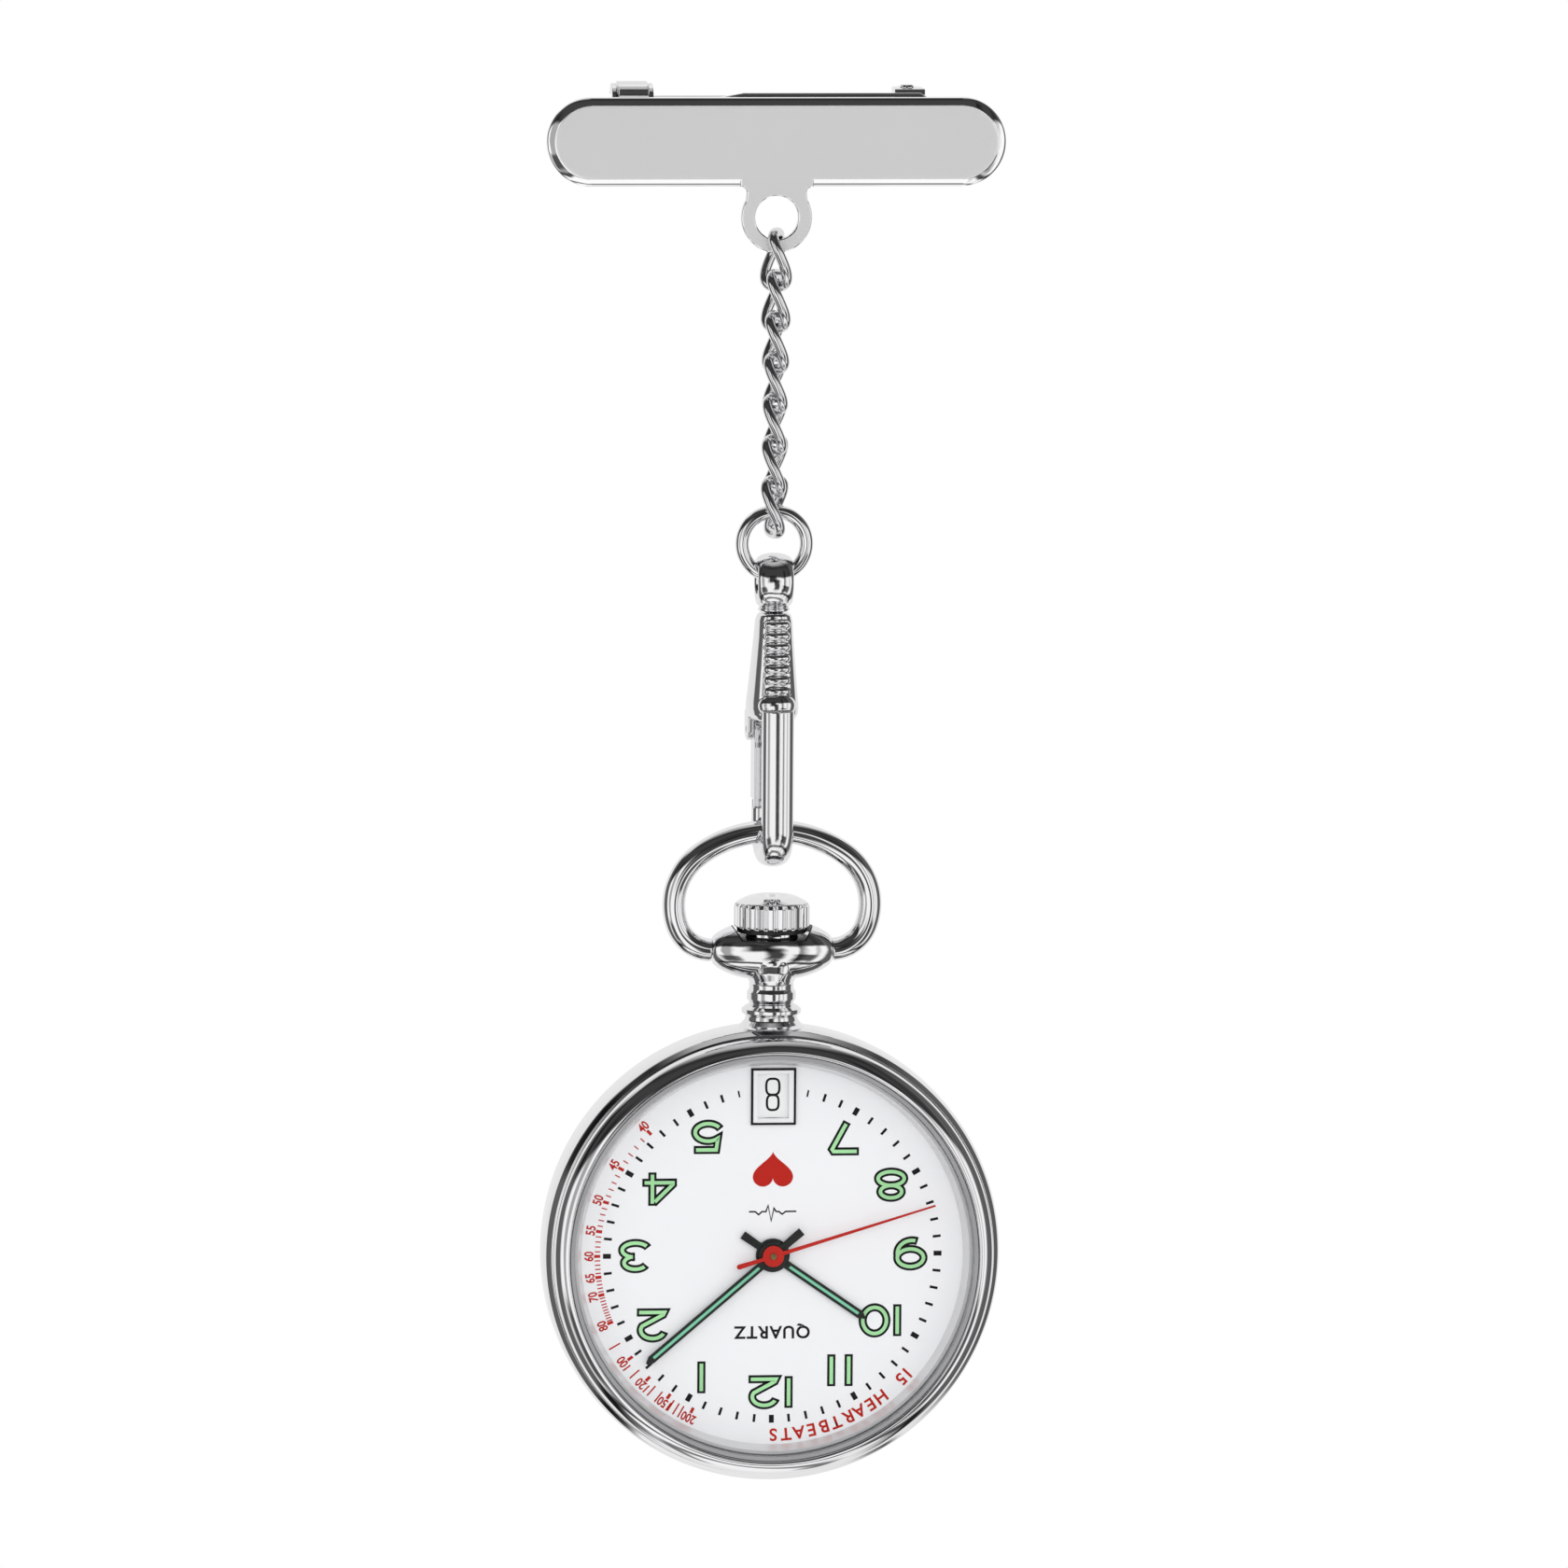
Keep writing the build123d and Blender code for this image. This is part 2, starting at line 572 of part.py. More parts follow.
# ============================================================== movement ====
def gear_points(n, m, phase=0.0, add=0.9, ded=1.25, width=0.42):
    """Trapezoid-tooth outline with working backlash; phase in tooth pitches."""
    rp = n * m / 2
    ro, ri = rp + add * m, rp - ded * m
    pitch = 2 * math.pi / n
    pts = []
    for k in range(n):
        c = (k + phase) * pitch
        for r, h in ((ri, 0.62), (rp, width), (ro, 0.16)):
            pts.append((r, c - h * pitch / 2))
        for r, h in ((ro, 0.16), (rp, width), (ri, 0.62)):
            pts.append((r, c + h * pitch / 2))
    return [(r * math.cos(a), r * math.sin(a)) for r, a in pts]


STEM_V = -10.6                       # groove of the stem
THIRD = (2.05, 2.05)
INTER = (-2.40, 0.0)
ROTOR = (-4.34, 1.12)
MIN_W = (2.40, 0.0)
DATE_W = (-4.95, 0.0)
BATT = (6.0, -4.6)
LEVER = (2.40, -10.95)
PILLARS = [(-1.5, -4.6), (-1.6, 5.6), (5.9, 1.7)]

with BuildPart() as mainplate:
    with BuildSketch(RS) as sk:
        with BuildLine():
            Polyline((0.43, -0.40), (8.70, -0.40), (8.70, -1.05), (12.02, -1.05), (12.02, -1.33),
                     (12.22, -1.33), (12.22, 0.20), (0.43, 0.20), close=True)
        make_face()
    revolve(axis=AX_W)
    # stem channel
    with BuildSketch(watch(-0.50)) as sk:
        with Locations((0, -9.9)):
            Rectangle(1.2, 5.2)
    extrude(amount=1.2, mode=Mode.SUBTRACT)
    with BuildSketch(watch(-0.86)) as sk:
        with Locations((0, -8.9)):
            Rectangle(2.2, 3.0)
    extrude(amount=1.56, mode=Mode.SUBTRACT)
    # pillars and lever post
    with BuildSketch(watch(0.10)) as sk:
        with Locations(*PILLARS):
            Circle(0.55)
    extrude(amount=1.83)
    with BuildSketch(watch(0.10)) as sk:
        with Locations(LEVER):
            Circle(0.25)
    extrude(amount=0.75)
    # notches for the dial feet, screw holes and pivots
    with BuildSketch(watch(-1.4)) as sk:
        with Locations((-11.52, 4.2), (11.52, -4.2)):
            Circle(0.20)
        with Locations(MIN_W, DATE_W):
            Circle(0.17)
    extrude(amount=2.0, mode=Mode.SUBTRACT)
    with BuildSketch(watch(0.0)) as sk:
        with Locations(THIRD, INTER, ROTOR):
            Circle(0.11)
    extrude(amount=0.5, mode=Mode.SUBTRACT)
    with BuildSketch(watch(0.9)) as sk:
        with Locations(*PILLARS):
            Circle(0.25)
    extrude(amount=1.5, mode=Mode.SUBTRACT)
mainplate.part.label = "mainplate"
export_step(mainplate.part, "parts/mainplate.step")

with BuildPart() as date_disc:
    with BuildSketch(watch(-1.30)) as sk:
        Circle(11.95)
        with BuildLine():
            pts = []
            for k in range(31):
                c = 2 * math.pi * k / 31
                h = math.pi / 31
                pts += [(9.40 * math.cos(c - 0.62 * h), 9.40 * math.sin(c - 0.62 * h)),
                        (9.40 * math.cos(c + 0.62 * h), 9.40 * math.sin(c + 0.62 * h)),
                        (8.98 * math.cos(c + 0.88 * h), 8.98 * math.sin(c + 0.88 * h)),
                        (8.98 * math.cos(c + 1.12 * h), 8.98 * math.sin(c + 1.12 * h))]
            Polyline(*pts, close=True)
        make_face(mode=Mode.SUBTRACT)
    extrude(amount=0.18)
date_disc.part.label = "date_disc"
export_step(date_disc.part, "parts/date_disc.step")

# date jumper: sprung arm whose beak rests just clear of the disc's teeth
with BuildPart() as date_jumper:
    with BuildSketch(watch(-1.28)) as sk:
        with Locations((5.2, 4.4)):
            Circle(0.55)
        with BuildLine():
            Polyline((5.6, 4.6), (4.95, 4.0), (8.35, 0.80), (8.35, 0.55), (8.92, 0.55), (8.92, 0.75),
                     (8.60, 1.2), close=True)
        make_face()
    extrude(amount=0.15)
    with BuildSketch(watch(-1.13)) as sk:
        with Locations((5.2, 4.4)):
            Circle(0.30)
    extrude(amount=0.73)
date_jumper.part.label = "date_jumper"
export_step(date_jumper.part, "parts/date_jumper.step")

# centre wheel with cannon pinion: carries the minute hand
with BuildPart() as centre_wheel:
    with BuildSketch(watch(0.35)) as sk:
        with BuildLine():
            Polyline(*gear_points(64, 0.0806), close=True)
        make_face()
        Circle(0.19, mode=Mode.SUBTRACT)
    extrude(amount=0.15)
    with BuildSketch(watch(-0.75)) as sk:
        with BuildLine():
            Polyline(*gear_points(12, 0.10), close=True)
        make_face()
        Circle(0.19, mode=Mode.SUBTRACT)
    extrude(amount=0.25)
    with BuildSketch(watch(-2.30)) as sk:
        Circle(0.38)
        Circle(0.19, mode=Mode.SUBTRACT)
    extrude(amount=2.85)
centre_wheel.part.label = "centre_wheel"
export_step(centre_wheel.part, "parts/centre_wheel.step")

with BuildPart() as hour_wheel:
    with BuildSketch(watch(-1.12)) as sk:
        with BuildLine():
            Polyline(*gear_points(40, 0.096), close=True)
        make_face()
        Circle(0.42, mode=Mode.SUBTRACT)
    extrude(amount=0.14)
    with BuildSketch(watch(-0.98)) as sk:
        with BuildLine():
            Polyline(*gear_points(30, 0.11), close=True)
        make_face()
        Circle(0.42, mode=Mode.SUBTRACT)
    extrude(amount=0.18)
    with BuildSketch(watch(-2.05)) as sk:
        Circle(0.58)
        Circle(0.42, mode=Mode.SUBTRACT)
    extrude(amount=1.0)
hour_wheel.part.label = "hour_wheel"
export_step(hour_wheel.part, "parts/hour_wheel.step")

# minute wheel and pinion: meshes cannon pinion and hour wheel
with BuildPart() as minute_wheel:
    with BuildSketch(front_plane(Y0 - 0.73, ZC, MIN_W[0])) as sk:
        with BuildLine():
            Polyline(*gear_points(36, 0.10, 0.5), close=True)
        make_face()
    extrude(amount=0.21)
    with BuildSketch(front_plane(Y0 - 1.14, ZC, MIN_W[0])) as sk:
        with BuildLine():
            Polyline(*gear_points(10, 0.096, 0.5), close=True)
        make_face()
    extrude(amount=0.41)
    with BuildSketch(front_plane(Y0 - 0.53, ZC, MIN_W[0])) as sk:
        Circle(0.13)
    extrude(amount=0.6)
minute_wheel.part.label = "minute_wheel"
export_step(minute_wheel.part, "parts/minute_wheel.step")

# date driving wheel with its finger
with BuildPart() as date_wheel:
    with BuildSketch(front_plane(Y0 - 0.97, ZC, DATE_W[0])) as sk:
        with BuildLine():
            Polyline(*gear_points(60, 0.11, 0.5), close=True)
        make_face()
    extrude(amount=0.16)
    with BuildSketch(front_plane(Y0 - 1.29, ZC, DATE_W[0])) as sk:
        Circle(0.5)
        with BuildLine():
            Polyline((-0.25, 0.5), (-0.12, 3.88), (0.12, 3.88), (0.40, 0.3), close=True)
        make_face()
    extrude(amount=0.12)
    with BuildSketch(front_plane(Y0 - 1.20, ZC, DATE_W[0])) as sk:
        Circle(0.30)
    extrude(amount=0.3)
    with BuildSketch(front_plane(Y0 - 0.85, ZC, DATE_W[0])) as sk:
        Circle(0.13)
    extrude(amount=0.9)
date_wheel.part.label = "date_wheel"
export_step(date_wheel.part, "parts/date_wheel.step")

# third wheel and pinion
with BuildPart() as third_wheel:
    with BuildSketch(front_plane(Y0 + 0.85, ZC - THIRD[1], THIRD[0])) as sk:
        with BuildLine():
            Polyline(*gear_points(60, 0.0853, 0.5), close=True)
        make_face()
    extrude(amount=0.15)
    with BuildSketch(front_plane(Y0 + 0.30, ZC - THIRD[1], THIRD[0])) as sk:
        with BuildLine():
            Polyline(*gear_points(8, 0.0806, 0.5), close=True)
        make_face()
    extrude(amount=0.56)
    with BuildSketch(front_plane(Y0 + 0.03, ZC - THIRD[1], THIRD[0])) as sk:
        Circle(0.09)
    extrude(amount=2.15)
third_wheel.part.label = "third_wheel"
export_step(third_wheel.part, "parts/third_wheel.step")

# second wheel: long arbor through the centre carries the second hand
with BuildPart() as second_wheel:
    with BuildSketch(watch(1.25)) as sk:
        with BuildLine():
            Polyline(*gear_points(40, 0.10), close=True)
        make_face()
    extrude(amount=0.15)
    with BuildSketch(watch(0.78)) as sk:
        with BuildLine():
            Polyline(*gear_points(8, 0.0853), close=True)
        make_face()
    extrude(amount=0.48)
    with BuildSketch(watch(-2.62)) as sk:
        Circle(0.14)
    extrude(amount=3.6)
    with BuildSketch(watch(-2.62)) as sk:
        Circle(0.20)
    extrude(amount=0.28)
    with BuildSketch(watch(1.3)) as sk:
        Circle(0.09)
    extrude(amount=0.88)
second_wheel.part.label = "second_wheel"
export_step(second_wheel.part, "parts/second_wheel.step")

with BuildPart() as intermediate_wheel:
    with BuildSketch(front_plane(Y0 + 1.55, ZC, INTER[0])) as sk:
        with BuildLine():
            Polyline(*gear_points(48, 0.08, 0.5), close=True)
        make_face()
    extrude(amount=0.15)
    with BuildSketch(front_plane(Y0 + 1.20, ZC, INTER[0])) as sk:
        with BuildLine():
            Polyline(*gear_points(8, 0.10, 0.5), close=True)
        make_face()
    extrude(amount=0.36)
    with BuildSketch(front_plane(Y0 + 0.03, ZC, INTER[0])) as sk:
        Circle(0.09)
    extrude(amount=2.15)
intermediate_wheel.part.label = "intermediate_wheel"
export_step(intermediate_wheel.part, "parts/intermediate_wheel.step")

# rotor: two-pole magnet, pinion and arbor
with BuildPart() as rotor:
    with BuildSketch(front_plane(Y0 + 0.70, ZC - ROTOR[1], ROTOR[0])) as sk:
        Circle(0.68)
    extrude(amount=0.50)
    with BuildSketch(front_plane(Y0 + 1.19, ZC - ROTOR[1], ROTOR[0])) as sk:
        with BuildLine():
            Polyline(*gear_points(8, 0.08, 0.5), close=True)
        make_face()
    extrude(amount=0.56)
    with BuildSketch(front_plane(Y0 + 0.03, ZC - ROTOR[1], ROTOR[0])) as sk:
        Circle(0.09)
    extrude(amount=2.15)
rotor.part.label = "rotor"
export_step(rotor.part, "parts/rotor.step")

with BuildPart() as stator:
    with BuildSketch(watch(0.72)) as sk:
        with BuildLine():
            Polyline((-8.9, -4.7), (-3.9, -4.7), (-3.3, -4.1), (-3.3, 6.1), (-3.9, 6.7),
                     (-8.9, 6.7), (-8.9, 5.5), (-5.4, 5.5), (-5.4, -3.5), (-8.9, -3.5), close=True)
        make_face()
        with Locations(ROTOR):
            Circle(0.82, mode=Mode.SUBTRACT)
    extrude(amount=0.40)
stator.part.label = "stator"
export_step(stator.part, "parts/stator.step")

# coil: winding on a flat core whose ends lie on the stator's legs
with BuildPart() as coil:
    with BuildSketch(Plane(origin=(-8.2, Y0 + 1.34, ZC - 5.2), z_dir=(0, 0, 1))) as sk:
        Circle(1.0)
    extrude(amount=8.4)
    with BuildSketch(watch(1.13)) as sk:
        with Locations((-8.2, 1.0)):
            Rectangle(1.3, 11.2)
    extrude(amount=0.40)
coil.part.label = "coil"
export_step(coil.part, "parts/coil.step")

with BuildPart() as circuit_board:
    with BuildSketch(watch(0.25)) as sk:
        with BuildLine():
            Polyline((0.5, 5.4), (8.4, 5.4), (8.4, 7.8), (5.4, 10.3), (0.5, 11.1), close=True)
        make_face()
    extrude(amount=0.35)
    with BuildSketch(watch(0.55)) as sk:
        with Locations((2.2, 7.4)):
            RectangleRounded(1.9, 1.9, 0.4)
    extrude(amount=0.5)
circuit_board.part.label = "circuit_board"
export_step(circuit_board.part, "parts/circuit_board.step")

with BuildPart() as quartz_can:
    with BuildSketch(Plane(origin=(3.6, Y0 + 1.37, ZC - 9.1), z_dir=(1, 0, 0))) as sk:
        Circle(0.72)
    extrude(amount=0.01 + 2.6)
    with BuildSketch(Plane(origin=(3.6, Y0 + 1.37, ZC - 9.1), z_dir=(1, 0, 0))) as sk:
        with Locations((0.0, 0.35), (0.0, -0.35)):
            Circle(0.10)
    extrude(amount=-0.9)
quartz_can.part.label = "quartz_can"
export_step(quartz_can.part, "parts/quartz_can.step")

with BuildPart() as battery:
    with BuildSketch(front_plane(Y0 + 0.25, ZC - BATT[1], BATT[0])) as sk:
        Circle(3.45)
    extrude(amount=0.35)
    with BuildSketch(front_plane(Y0 + 0.58, ZC - BATT[1], BATT[0])) as sk:
        Circle(3.95)
    extrude(amount=1.77)
    chamfer(battery.edges().group_by(Axis.Y)[-1], 0.15)
battery.part.label = "battery"
export_step(battery.part, "parts/battery.step")

with BuildPart() as battery_clamp:
    with BuildSketch(watch(2.37)) as sk:
        with BuildLine():
            Polyline((1.1, -2.6), (1.9, -3.4), (8.6, -6.4), (9.0, -5.6), (2.6, -2.2), (1.6, -1.6), close=True)
        make_face()
    extrude(amount=0.15)
battery_clamp.part.label = "battery_clamp"
export_step(battery_clamp.part, "parts/battery_clamp.step")

with BuildPart() as train_bridge:
    with BuildSketch(watch(1.95)) as sk:
        with BuildLine():
            Polyline((-5.6, 0.2), (-2.4, -5.3), (-0.6, -5.3), (1.8, -1.5), (5.4, 0.8), (6.7, 1.1),
                     (6.7, 2.3), (5.6, 2.6), (1.9, 4.6), (-0.6, 6.3), (-2.4, 6.3), (-3.4, 4.5),
                     (-5.6, 2.2), close=True)
        make_face()
        with Locations(THIRD, INTER, ROTOR, (0, 0)):
            Circle(0.12, mode=Mode.SUBTRACT)
        with Locations(*PILLARS):
            Circle(0.28, mode=Mode.SUBTRACT)
    extrude(amount=0.32)
train_bridge.part.label = "train_bridge"
export_step(train_bridge.part, "parts/train_bridge.step")

with BuildPart() as bridge_screws:
    for x, v in PILLARS:
        with BuildSketch(front_plane(Y0 + 2.28, ZC - v, x)) as sk:
            Circle(0.55)
            Rectangle(1.2, 0.16, mode=Mode.SUBTRACT)
        extrude(amount=0.22)
        with BuildSketch(front_plane(Y0 + 1.05, ZC - v, x)) as sk:
            Circle(0.24)
        extrude(amount=1.30)
bridge_screws.part.label = "bridge_screws"
export_step(bridge_screws.part, "parts/bridge_screws.step")

# setting lever: its pin rides in the stem's groove
with BuildPart() as setting_lever:
    with BuildSketch(watch(0.52)) as sk:
        with Locations(LEVER):
            Circle(0.55)
        with BuildLine():
            Polyline((2.55, -11.3), (0.45, -10.82), (0.25, -10.6), (0.45, -10.38), (2.35, -10.5),
                     close=True)
        make_face()
        with Locations(LEVER):
            Circle(0.29, mode=Mode.SUBTRACT)
    extrude(amount=0.25)
    with BuildSketch(watch(-0.12)) as sk:
        with Locations((0.45, STEM_V)):
            Circle(0.14)
    extrude(amount=0.7)
setting_lever.part.label = "setting_lever"
export_step(setting_lever.part, "parts/setting_lever.step")

with BuildPart() as sliding_pinion:
    with BuildSketch(Plane(origin=(0, Y0, ZC + 7.8))) as sk:
        with BuildLine():
            Polyline(*gear_points(14, 0.10), close=True)
        make_face()
        Circle(0.30, mode=Mode.SUBTRACT)
    extrude(amount=0.35)
    with BuildSketch(Plane(origin=(0, Y0, ZC + 8.1))) as sk:
        Circle(0.48)
        Circle(0.30, mode=Mode.SUBTRACT)
    extrude(amount=0.8)
sliding_pinion.part.label = "sliding_pinion"
export_step(sliding_pinion.part, "parts/sliding_pinion.step")


# ================================================================= hands ====
def hand_plane(s, deg):
    """Plane of a hand at depth s, local x pointing deg clockwise from 12."""
    a = math.radians(deg)
    return Plane(origin=(0, Y0 + s, ZC), x_dir=(-math.sin(a), 0, -math.cos(a)), z_dir=(0, 1, 0))


HOUR_A, MIN_A, SEC_A = 304.6, 49.5, 253.0

with BuildPart() as hour_hand:
    with BuildSketch(hand_plane(-2.05, HOUR_A)) as sk:
        with BuildLine():
            Polyline((-2.4, -0.22), (0, -0.28), (6.9, -0.28), (7.4, 0), (6.9, 0.28), (0, 0.28),
                     (-2.4, 0.22), close=True)
        make_face()
        Circle(1.11)
        Circle(0.58, mode=Mode.SUBTRACT)
    extrude(amount=0.13)
hour_hand.part.label = "hour_hand"
export_step(hour_hand.part, "parts/hour_hand.step")

with BuildPart() as minute_hand:
    with BuildSketch(hand_plane(-2.30, MIN_A)) as sk:
        with BuildLine():
            Polyline((-2.46, -0.22), (0, -0.28), (10.36, -0.28), (10.86, 0), (10.36, 0.28), (0, 0.28),
                     (-2.46, 0.22), close=True)
        make_face()
        Circle(0.92)
        Circle(0.38, mode=Mode.SUBTRACT)
    extrude(amount=0.13)
minute_hand.part.label = "minute_hand"
export_step(minute_hand.part, "parts/minute_hand.step")

with BuildPart() as second_hand:
    with BuildSketch(hand_plane(-2.52, SEC_A)) as sk:
        with BuildLine():
            Polyline((-2.5, -0.11), (0, -0.13), (11.1, -0.06), (11.1, 0.06), (0, 0.13),
                     (-2.5, 0.11), close=True)
        make_face()
        Circle(0.70)
        Circle(0.20, mode=Mode.SUBTRACT)
    extrude(amount=0.11)
second_hand.part.label = "second_hand"
export_step(second_hand.part, "parts/second_hand.step")
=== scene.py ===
import json
import math

import bmesh
import bpy
import numpy as np
from mathutils import Matrix, Vector


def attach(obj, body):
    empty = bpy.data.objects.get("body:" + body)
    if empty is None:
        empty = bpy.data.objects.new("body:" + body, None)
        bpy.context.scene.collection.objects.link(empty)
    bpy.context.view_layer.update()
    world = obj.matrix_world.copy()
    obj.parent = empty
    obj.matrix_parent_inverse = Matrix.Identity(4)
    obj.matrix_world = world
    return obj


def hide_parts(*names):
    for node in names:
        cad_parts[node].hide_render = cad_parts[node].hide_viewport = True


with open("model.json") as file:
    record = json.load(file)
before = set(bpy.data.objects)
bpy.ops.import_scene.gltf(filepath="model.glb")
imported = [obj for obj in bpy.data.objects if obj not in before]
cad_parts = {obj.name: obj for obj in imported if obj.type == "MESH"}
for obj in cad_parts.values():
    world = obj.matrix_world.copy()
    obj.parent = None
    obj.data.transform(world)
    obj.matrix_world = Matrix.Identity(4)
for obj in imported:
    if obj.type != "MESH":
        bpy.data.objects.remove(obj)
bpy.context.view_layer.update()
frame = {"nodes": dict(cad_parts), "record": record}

# Fob watch. Shapes are made in millimetres in the row frame and scaled to metres.
K = 0.001
Y0, ZC, PIV = -2.8, -75.0, -55.15
RNG = np.random.default_rng(7)
pi = math.pi


# ------------------------------------------------------------- materials ----
class Nodes:
    """Small helper for building a node tree."""

    def __init__(self, tree):
        self.t = tree
        tree.nodes.clear()

    def add(self, kind, **inputs):
        n = self.t.nodes.new(kind)
        for k, v in inputs.items():
            if k in n.inputs:
                n.inputs[k].default_value = v
            elif hasattr(n, k):
                setattr(n, k, v)
        return n

    def link(self, a, ao, b, bi):
        self.t.links.new(a.outputs[ao], b.inputs[bi])

    def math(self, op, a, b=None):
        n = self.t.nodes.new("ShaderNodeMath")
        n.operation = op
        for i, v in enumerate((a, b)):
            if v is None:
                continue
            if isinstance(v, tuple):
                self.t.links.new(v[0].outputs[v[1]], n.inputs[i])
            else:
                n.inputs[i].default_value = v
        return n


def material(name, base, rough, metal=0.0, grain=(900, 900, 900), bump=0.02, vary=0.03, rough_vary=0.03,
             coat=0.0, aniso=None, emission=None, depth=0.00001, ior=1.5, spec=0.5):
    """Principled surface with fine procedural wear: colour and roughness vary, and a bump carries the grain."""
    m = bpy.data.materials.new(name)
    m.use_nodes = True
    n = Nodes(m.node_tree)
    out = n.add("ShaderNodeOutputMaterial")
    p = n.add("ShaderNodeBsdfPrincipled")
    p.inputs["Metallic"].default_value = metal
    p.inputs["IOR"].default_value = ior
    p.inputs["Specular IOR Level"].default_value = spec
    p.inputs["Coat Weight"].default_value = coat
    p.inputs["Coat Roughness"].default_value = 0.06
    n.link(p, "BSDF", out, "Surface")
    tc = n.add("ShaderNodeTexCoord")
    mp = n.add("ShaderNodeMapping")
    mp.inputs["Scale"].default_value = grain
    n.link(tc, "Object", mp, "Vector")
    fine = n.add("ShaderNodeTexNoise")
    fine.inputs["Scale"].default_value = 1.0
    fine.inputs["Detail"].default_value = 4.0
    fine.inputs["Roughness"].default_value = 0.6
    n.link(mp, "Vector", fine, "Vector")
    broad = n.add("ShaderNodeTexNoise")
    broad.inputs["Scale"].default_value = 160.0
    broad.inputs["Detail"].default_value = 2.0
    n.link(tc, "Object", broad, "Vector")
    # colour
    ramp = n.add("ShaderNodeValToRGB")
    lo = [max(0.0, c * (1 - vary)) for c in base]
    hi = [min(1.0, c * (1 + vary)) for c in base]
    ramp.color_ramp.elements[0].position, ramp.color_ramp.elements[1].position = 0.3, 0.7
    ramp.color_ramp.elements[0].color = (*lo, 1)
    ramp.color_ramp.elements[1].color = (*hi, 1)
    n.link(broad, "Fac", ramp, "Fac")
    n.link(ramp, "Color", p, "Base Color")
    # roughness
    mr = n.add("ShaderNodeMapRange")
    mr.inputs["From Min"].default_value, mr.inputs["From Max"].default_value = 0.3, 0.7
    mr.inputs["To Min"].default_value = max(0.0, rough - rough_vary)
    mr.inputs["To Max"].default_value = rough + rough_vary
    n.link(fine, "Fac", mr, "Value")
    n.link(mr, "Result", p, "Roughness")
    if bump > 0:
        b = n.add("ShaderNodeBump")
        b.inputs["Strength"].default_value = bump
        b.inputs["Distance"].default_value = depth
        n.link(fine, "Fac", b, "Height")
        n.link(b, "Normal", p, "Normal")
    if aniso is not None:
        p.inputs["Anisotropic"].default_value = aniso
    if emission:
        p.inputs["Emission Color"].default_value = (*emission[:3], 1)
        p.inputs["Emission Strength"].default_value = emission[3]
    return m


def edge_polished(name):
    """Satin front and back faces, mirror-bright rounded edges."""
    m = material(name, (0.94, 0.94, 0.943), 0.36, 0.72, (2600, 9000, 9000), 0.012, 0.010, 0.03)
    n = Nodes.__new__(Nodes)
    n.t = m.node_tree
    p = next(q for q in n.t.nodes if q.type == "BSDF_PRINCIPLED")
    src = p.inputs["Roughness"].links[0].from_socket
    tc = n.add("ShaderNodeTexCoord")
    sep = n.add("ShaderNodeSeparateXYZ")
    n.link(tc, "Normal", sep, "Vector")
    flat = n.math("ABSOLUTE", (sep, "Y"))
    mr = n.add("ShaderNodeMapRange")
    mr.inputs["From Min"].default_value, mr.inputs["From Max"].default_value = 0.955, 0.995
    mr.inputs["To Min"].default_value, mr.inputs["To Max"].default_value = 0.12, 1.0
    n.link(flat, 0, mr, "Value")
    mul = n.add("ShaderNodeMath")
    mul.operation = "MULTIPLY"
    n.t.links.new(src, mul.inputs[0])
    n.link(mr, "Result", mul, 1)
    n.link(mul, "Value", p, "Roughness")
    mm = n.add("ShaderNodeMapRange")
    mm.inputs["From Min"].default_value, mm.inputs["From Max"].default_value = 0.955, 0.995
    mm.inputs["To Min"].default_value, mm.inputs["To Max"].default_value = 1.0, 0.72
    n.link(flat, 0, mm, "Value")
    n.link(mm, "Result", p, "Metallic")
    return m


CHROME = material("chrome_polished", (0.86, 0.86, 0.87), 0.045, 1.0, (700, 700, 700), 0.04, 0.015, 0.02)
CHROME_CAST = material("chrome_cast", (0.84, 0.84, 0.85), 0.07, 1.0, (1500, 1500, 1500), 0.10, 0.02, 0.03)
CHROME_WIRE = material("chrome_wire", (0.80, 0.80, 0.81), 0.085, 1.0, (2200, 2200, 900), 0.10, 0.03, 0.04)
SATIN = material("steel_satin", (0.66, 0.66, 0.665), 0.33, 1.0, (300, 6000, 6000), 0.10, 0.012, 0.05)
SATIN_RING = material("steel_brushed_ring", (0.80, 0.80, 0.81), 0.42, 0.55, (4000, 4000, 4000), 0.20, 0.03, 0.06)
STEEL = material("steel_spring", (0.62, 0.63, 0.65), 0.20, 1.0, (500, 5000, 5000), 0.12, 0.03, 0.05)
NICKEL = material("nickel_plate", (0.66, 0.65, 0.62), 0.28, 1.0, (3000, 3000, 3000), 0.15, 0.04, 0.06)
BRASS = material("brass_turned", (0.80, 0.60, 0.28), 0.22, 1.0, (2500, 2500, 2500), 0.12, 0.05, 0.05)
LACQUER = material("dial_lacquer", (0.905, 0.905, 0.925), 0.42, 0.0, (2600, 2600, 2600), 0.03, 0.006, 0.04, coat=0.15)
DATE_W = material("date_print_base", (0.90, 0.90, 0.90), 0.5, 0.0, (2600, 2600, 2600), 0.05, 0.01, 0.05)
INK = material("ink_black", (0.010, 0.010, 0.011), 0.5, 0.0, (5000, 5000, 5000), 0.10, 0.2, 0.05, spec=0.15)
INK_RED = material("ink_red", (0.50, 0.016, 0.009), 0.5, 0.0, (5000, 5000, 5000), 0.10, 0.06, 0.05, spec=0.15)
LUME = material("lume_green", (0.37, 0.71, 0.36), 0.7, 0.0, (6000, 6000, 6000), 0.35, 0.10, 0.08,
                emission=(0.42, 0.86, 0.42, 0.02), spec=0.2)
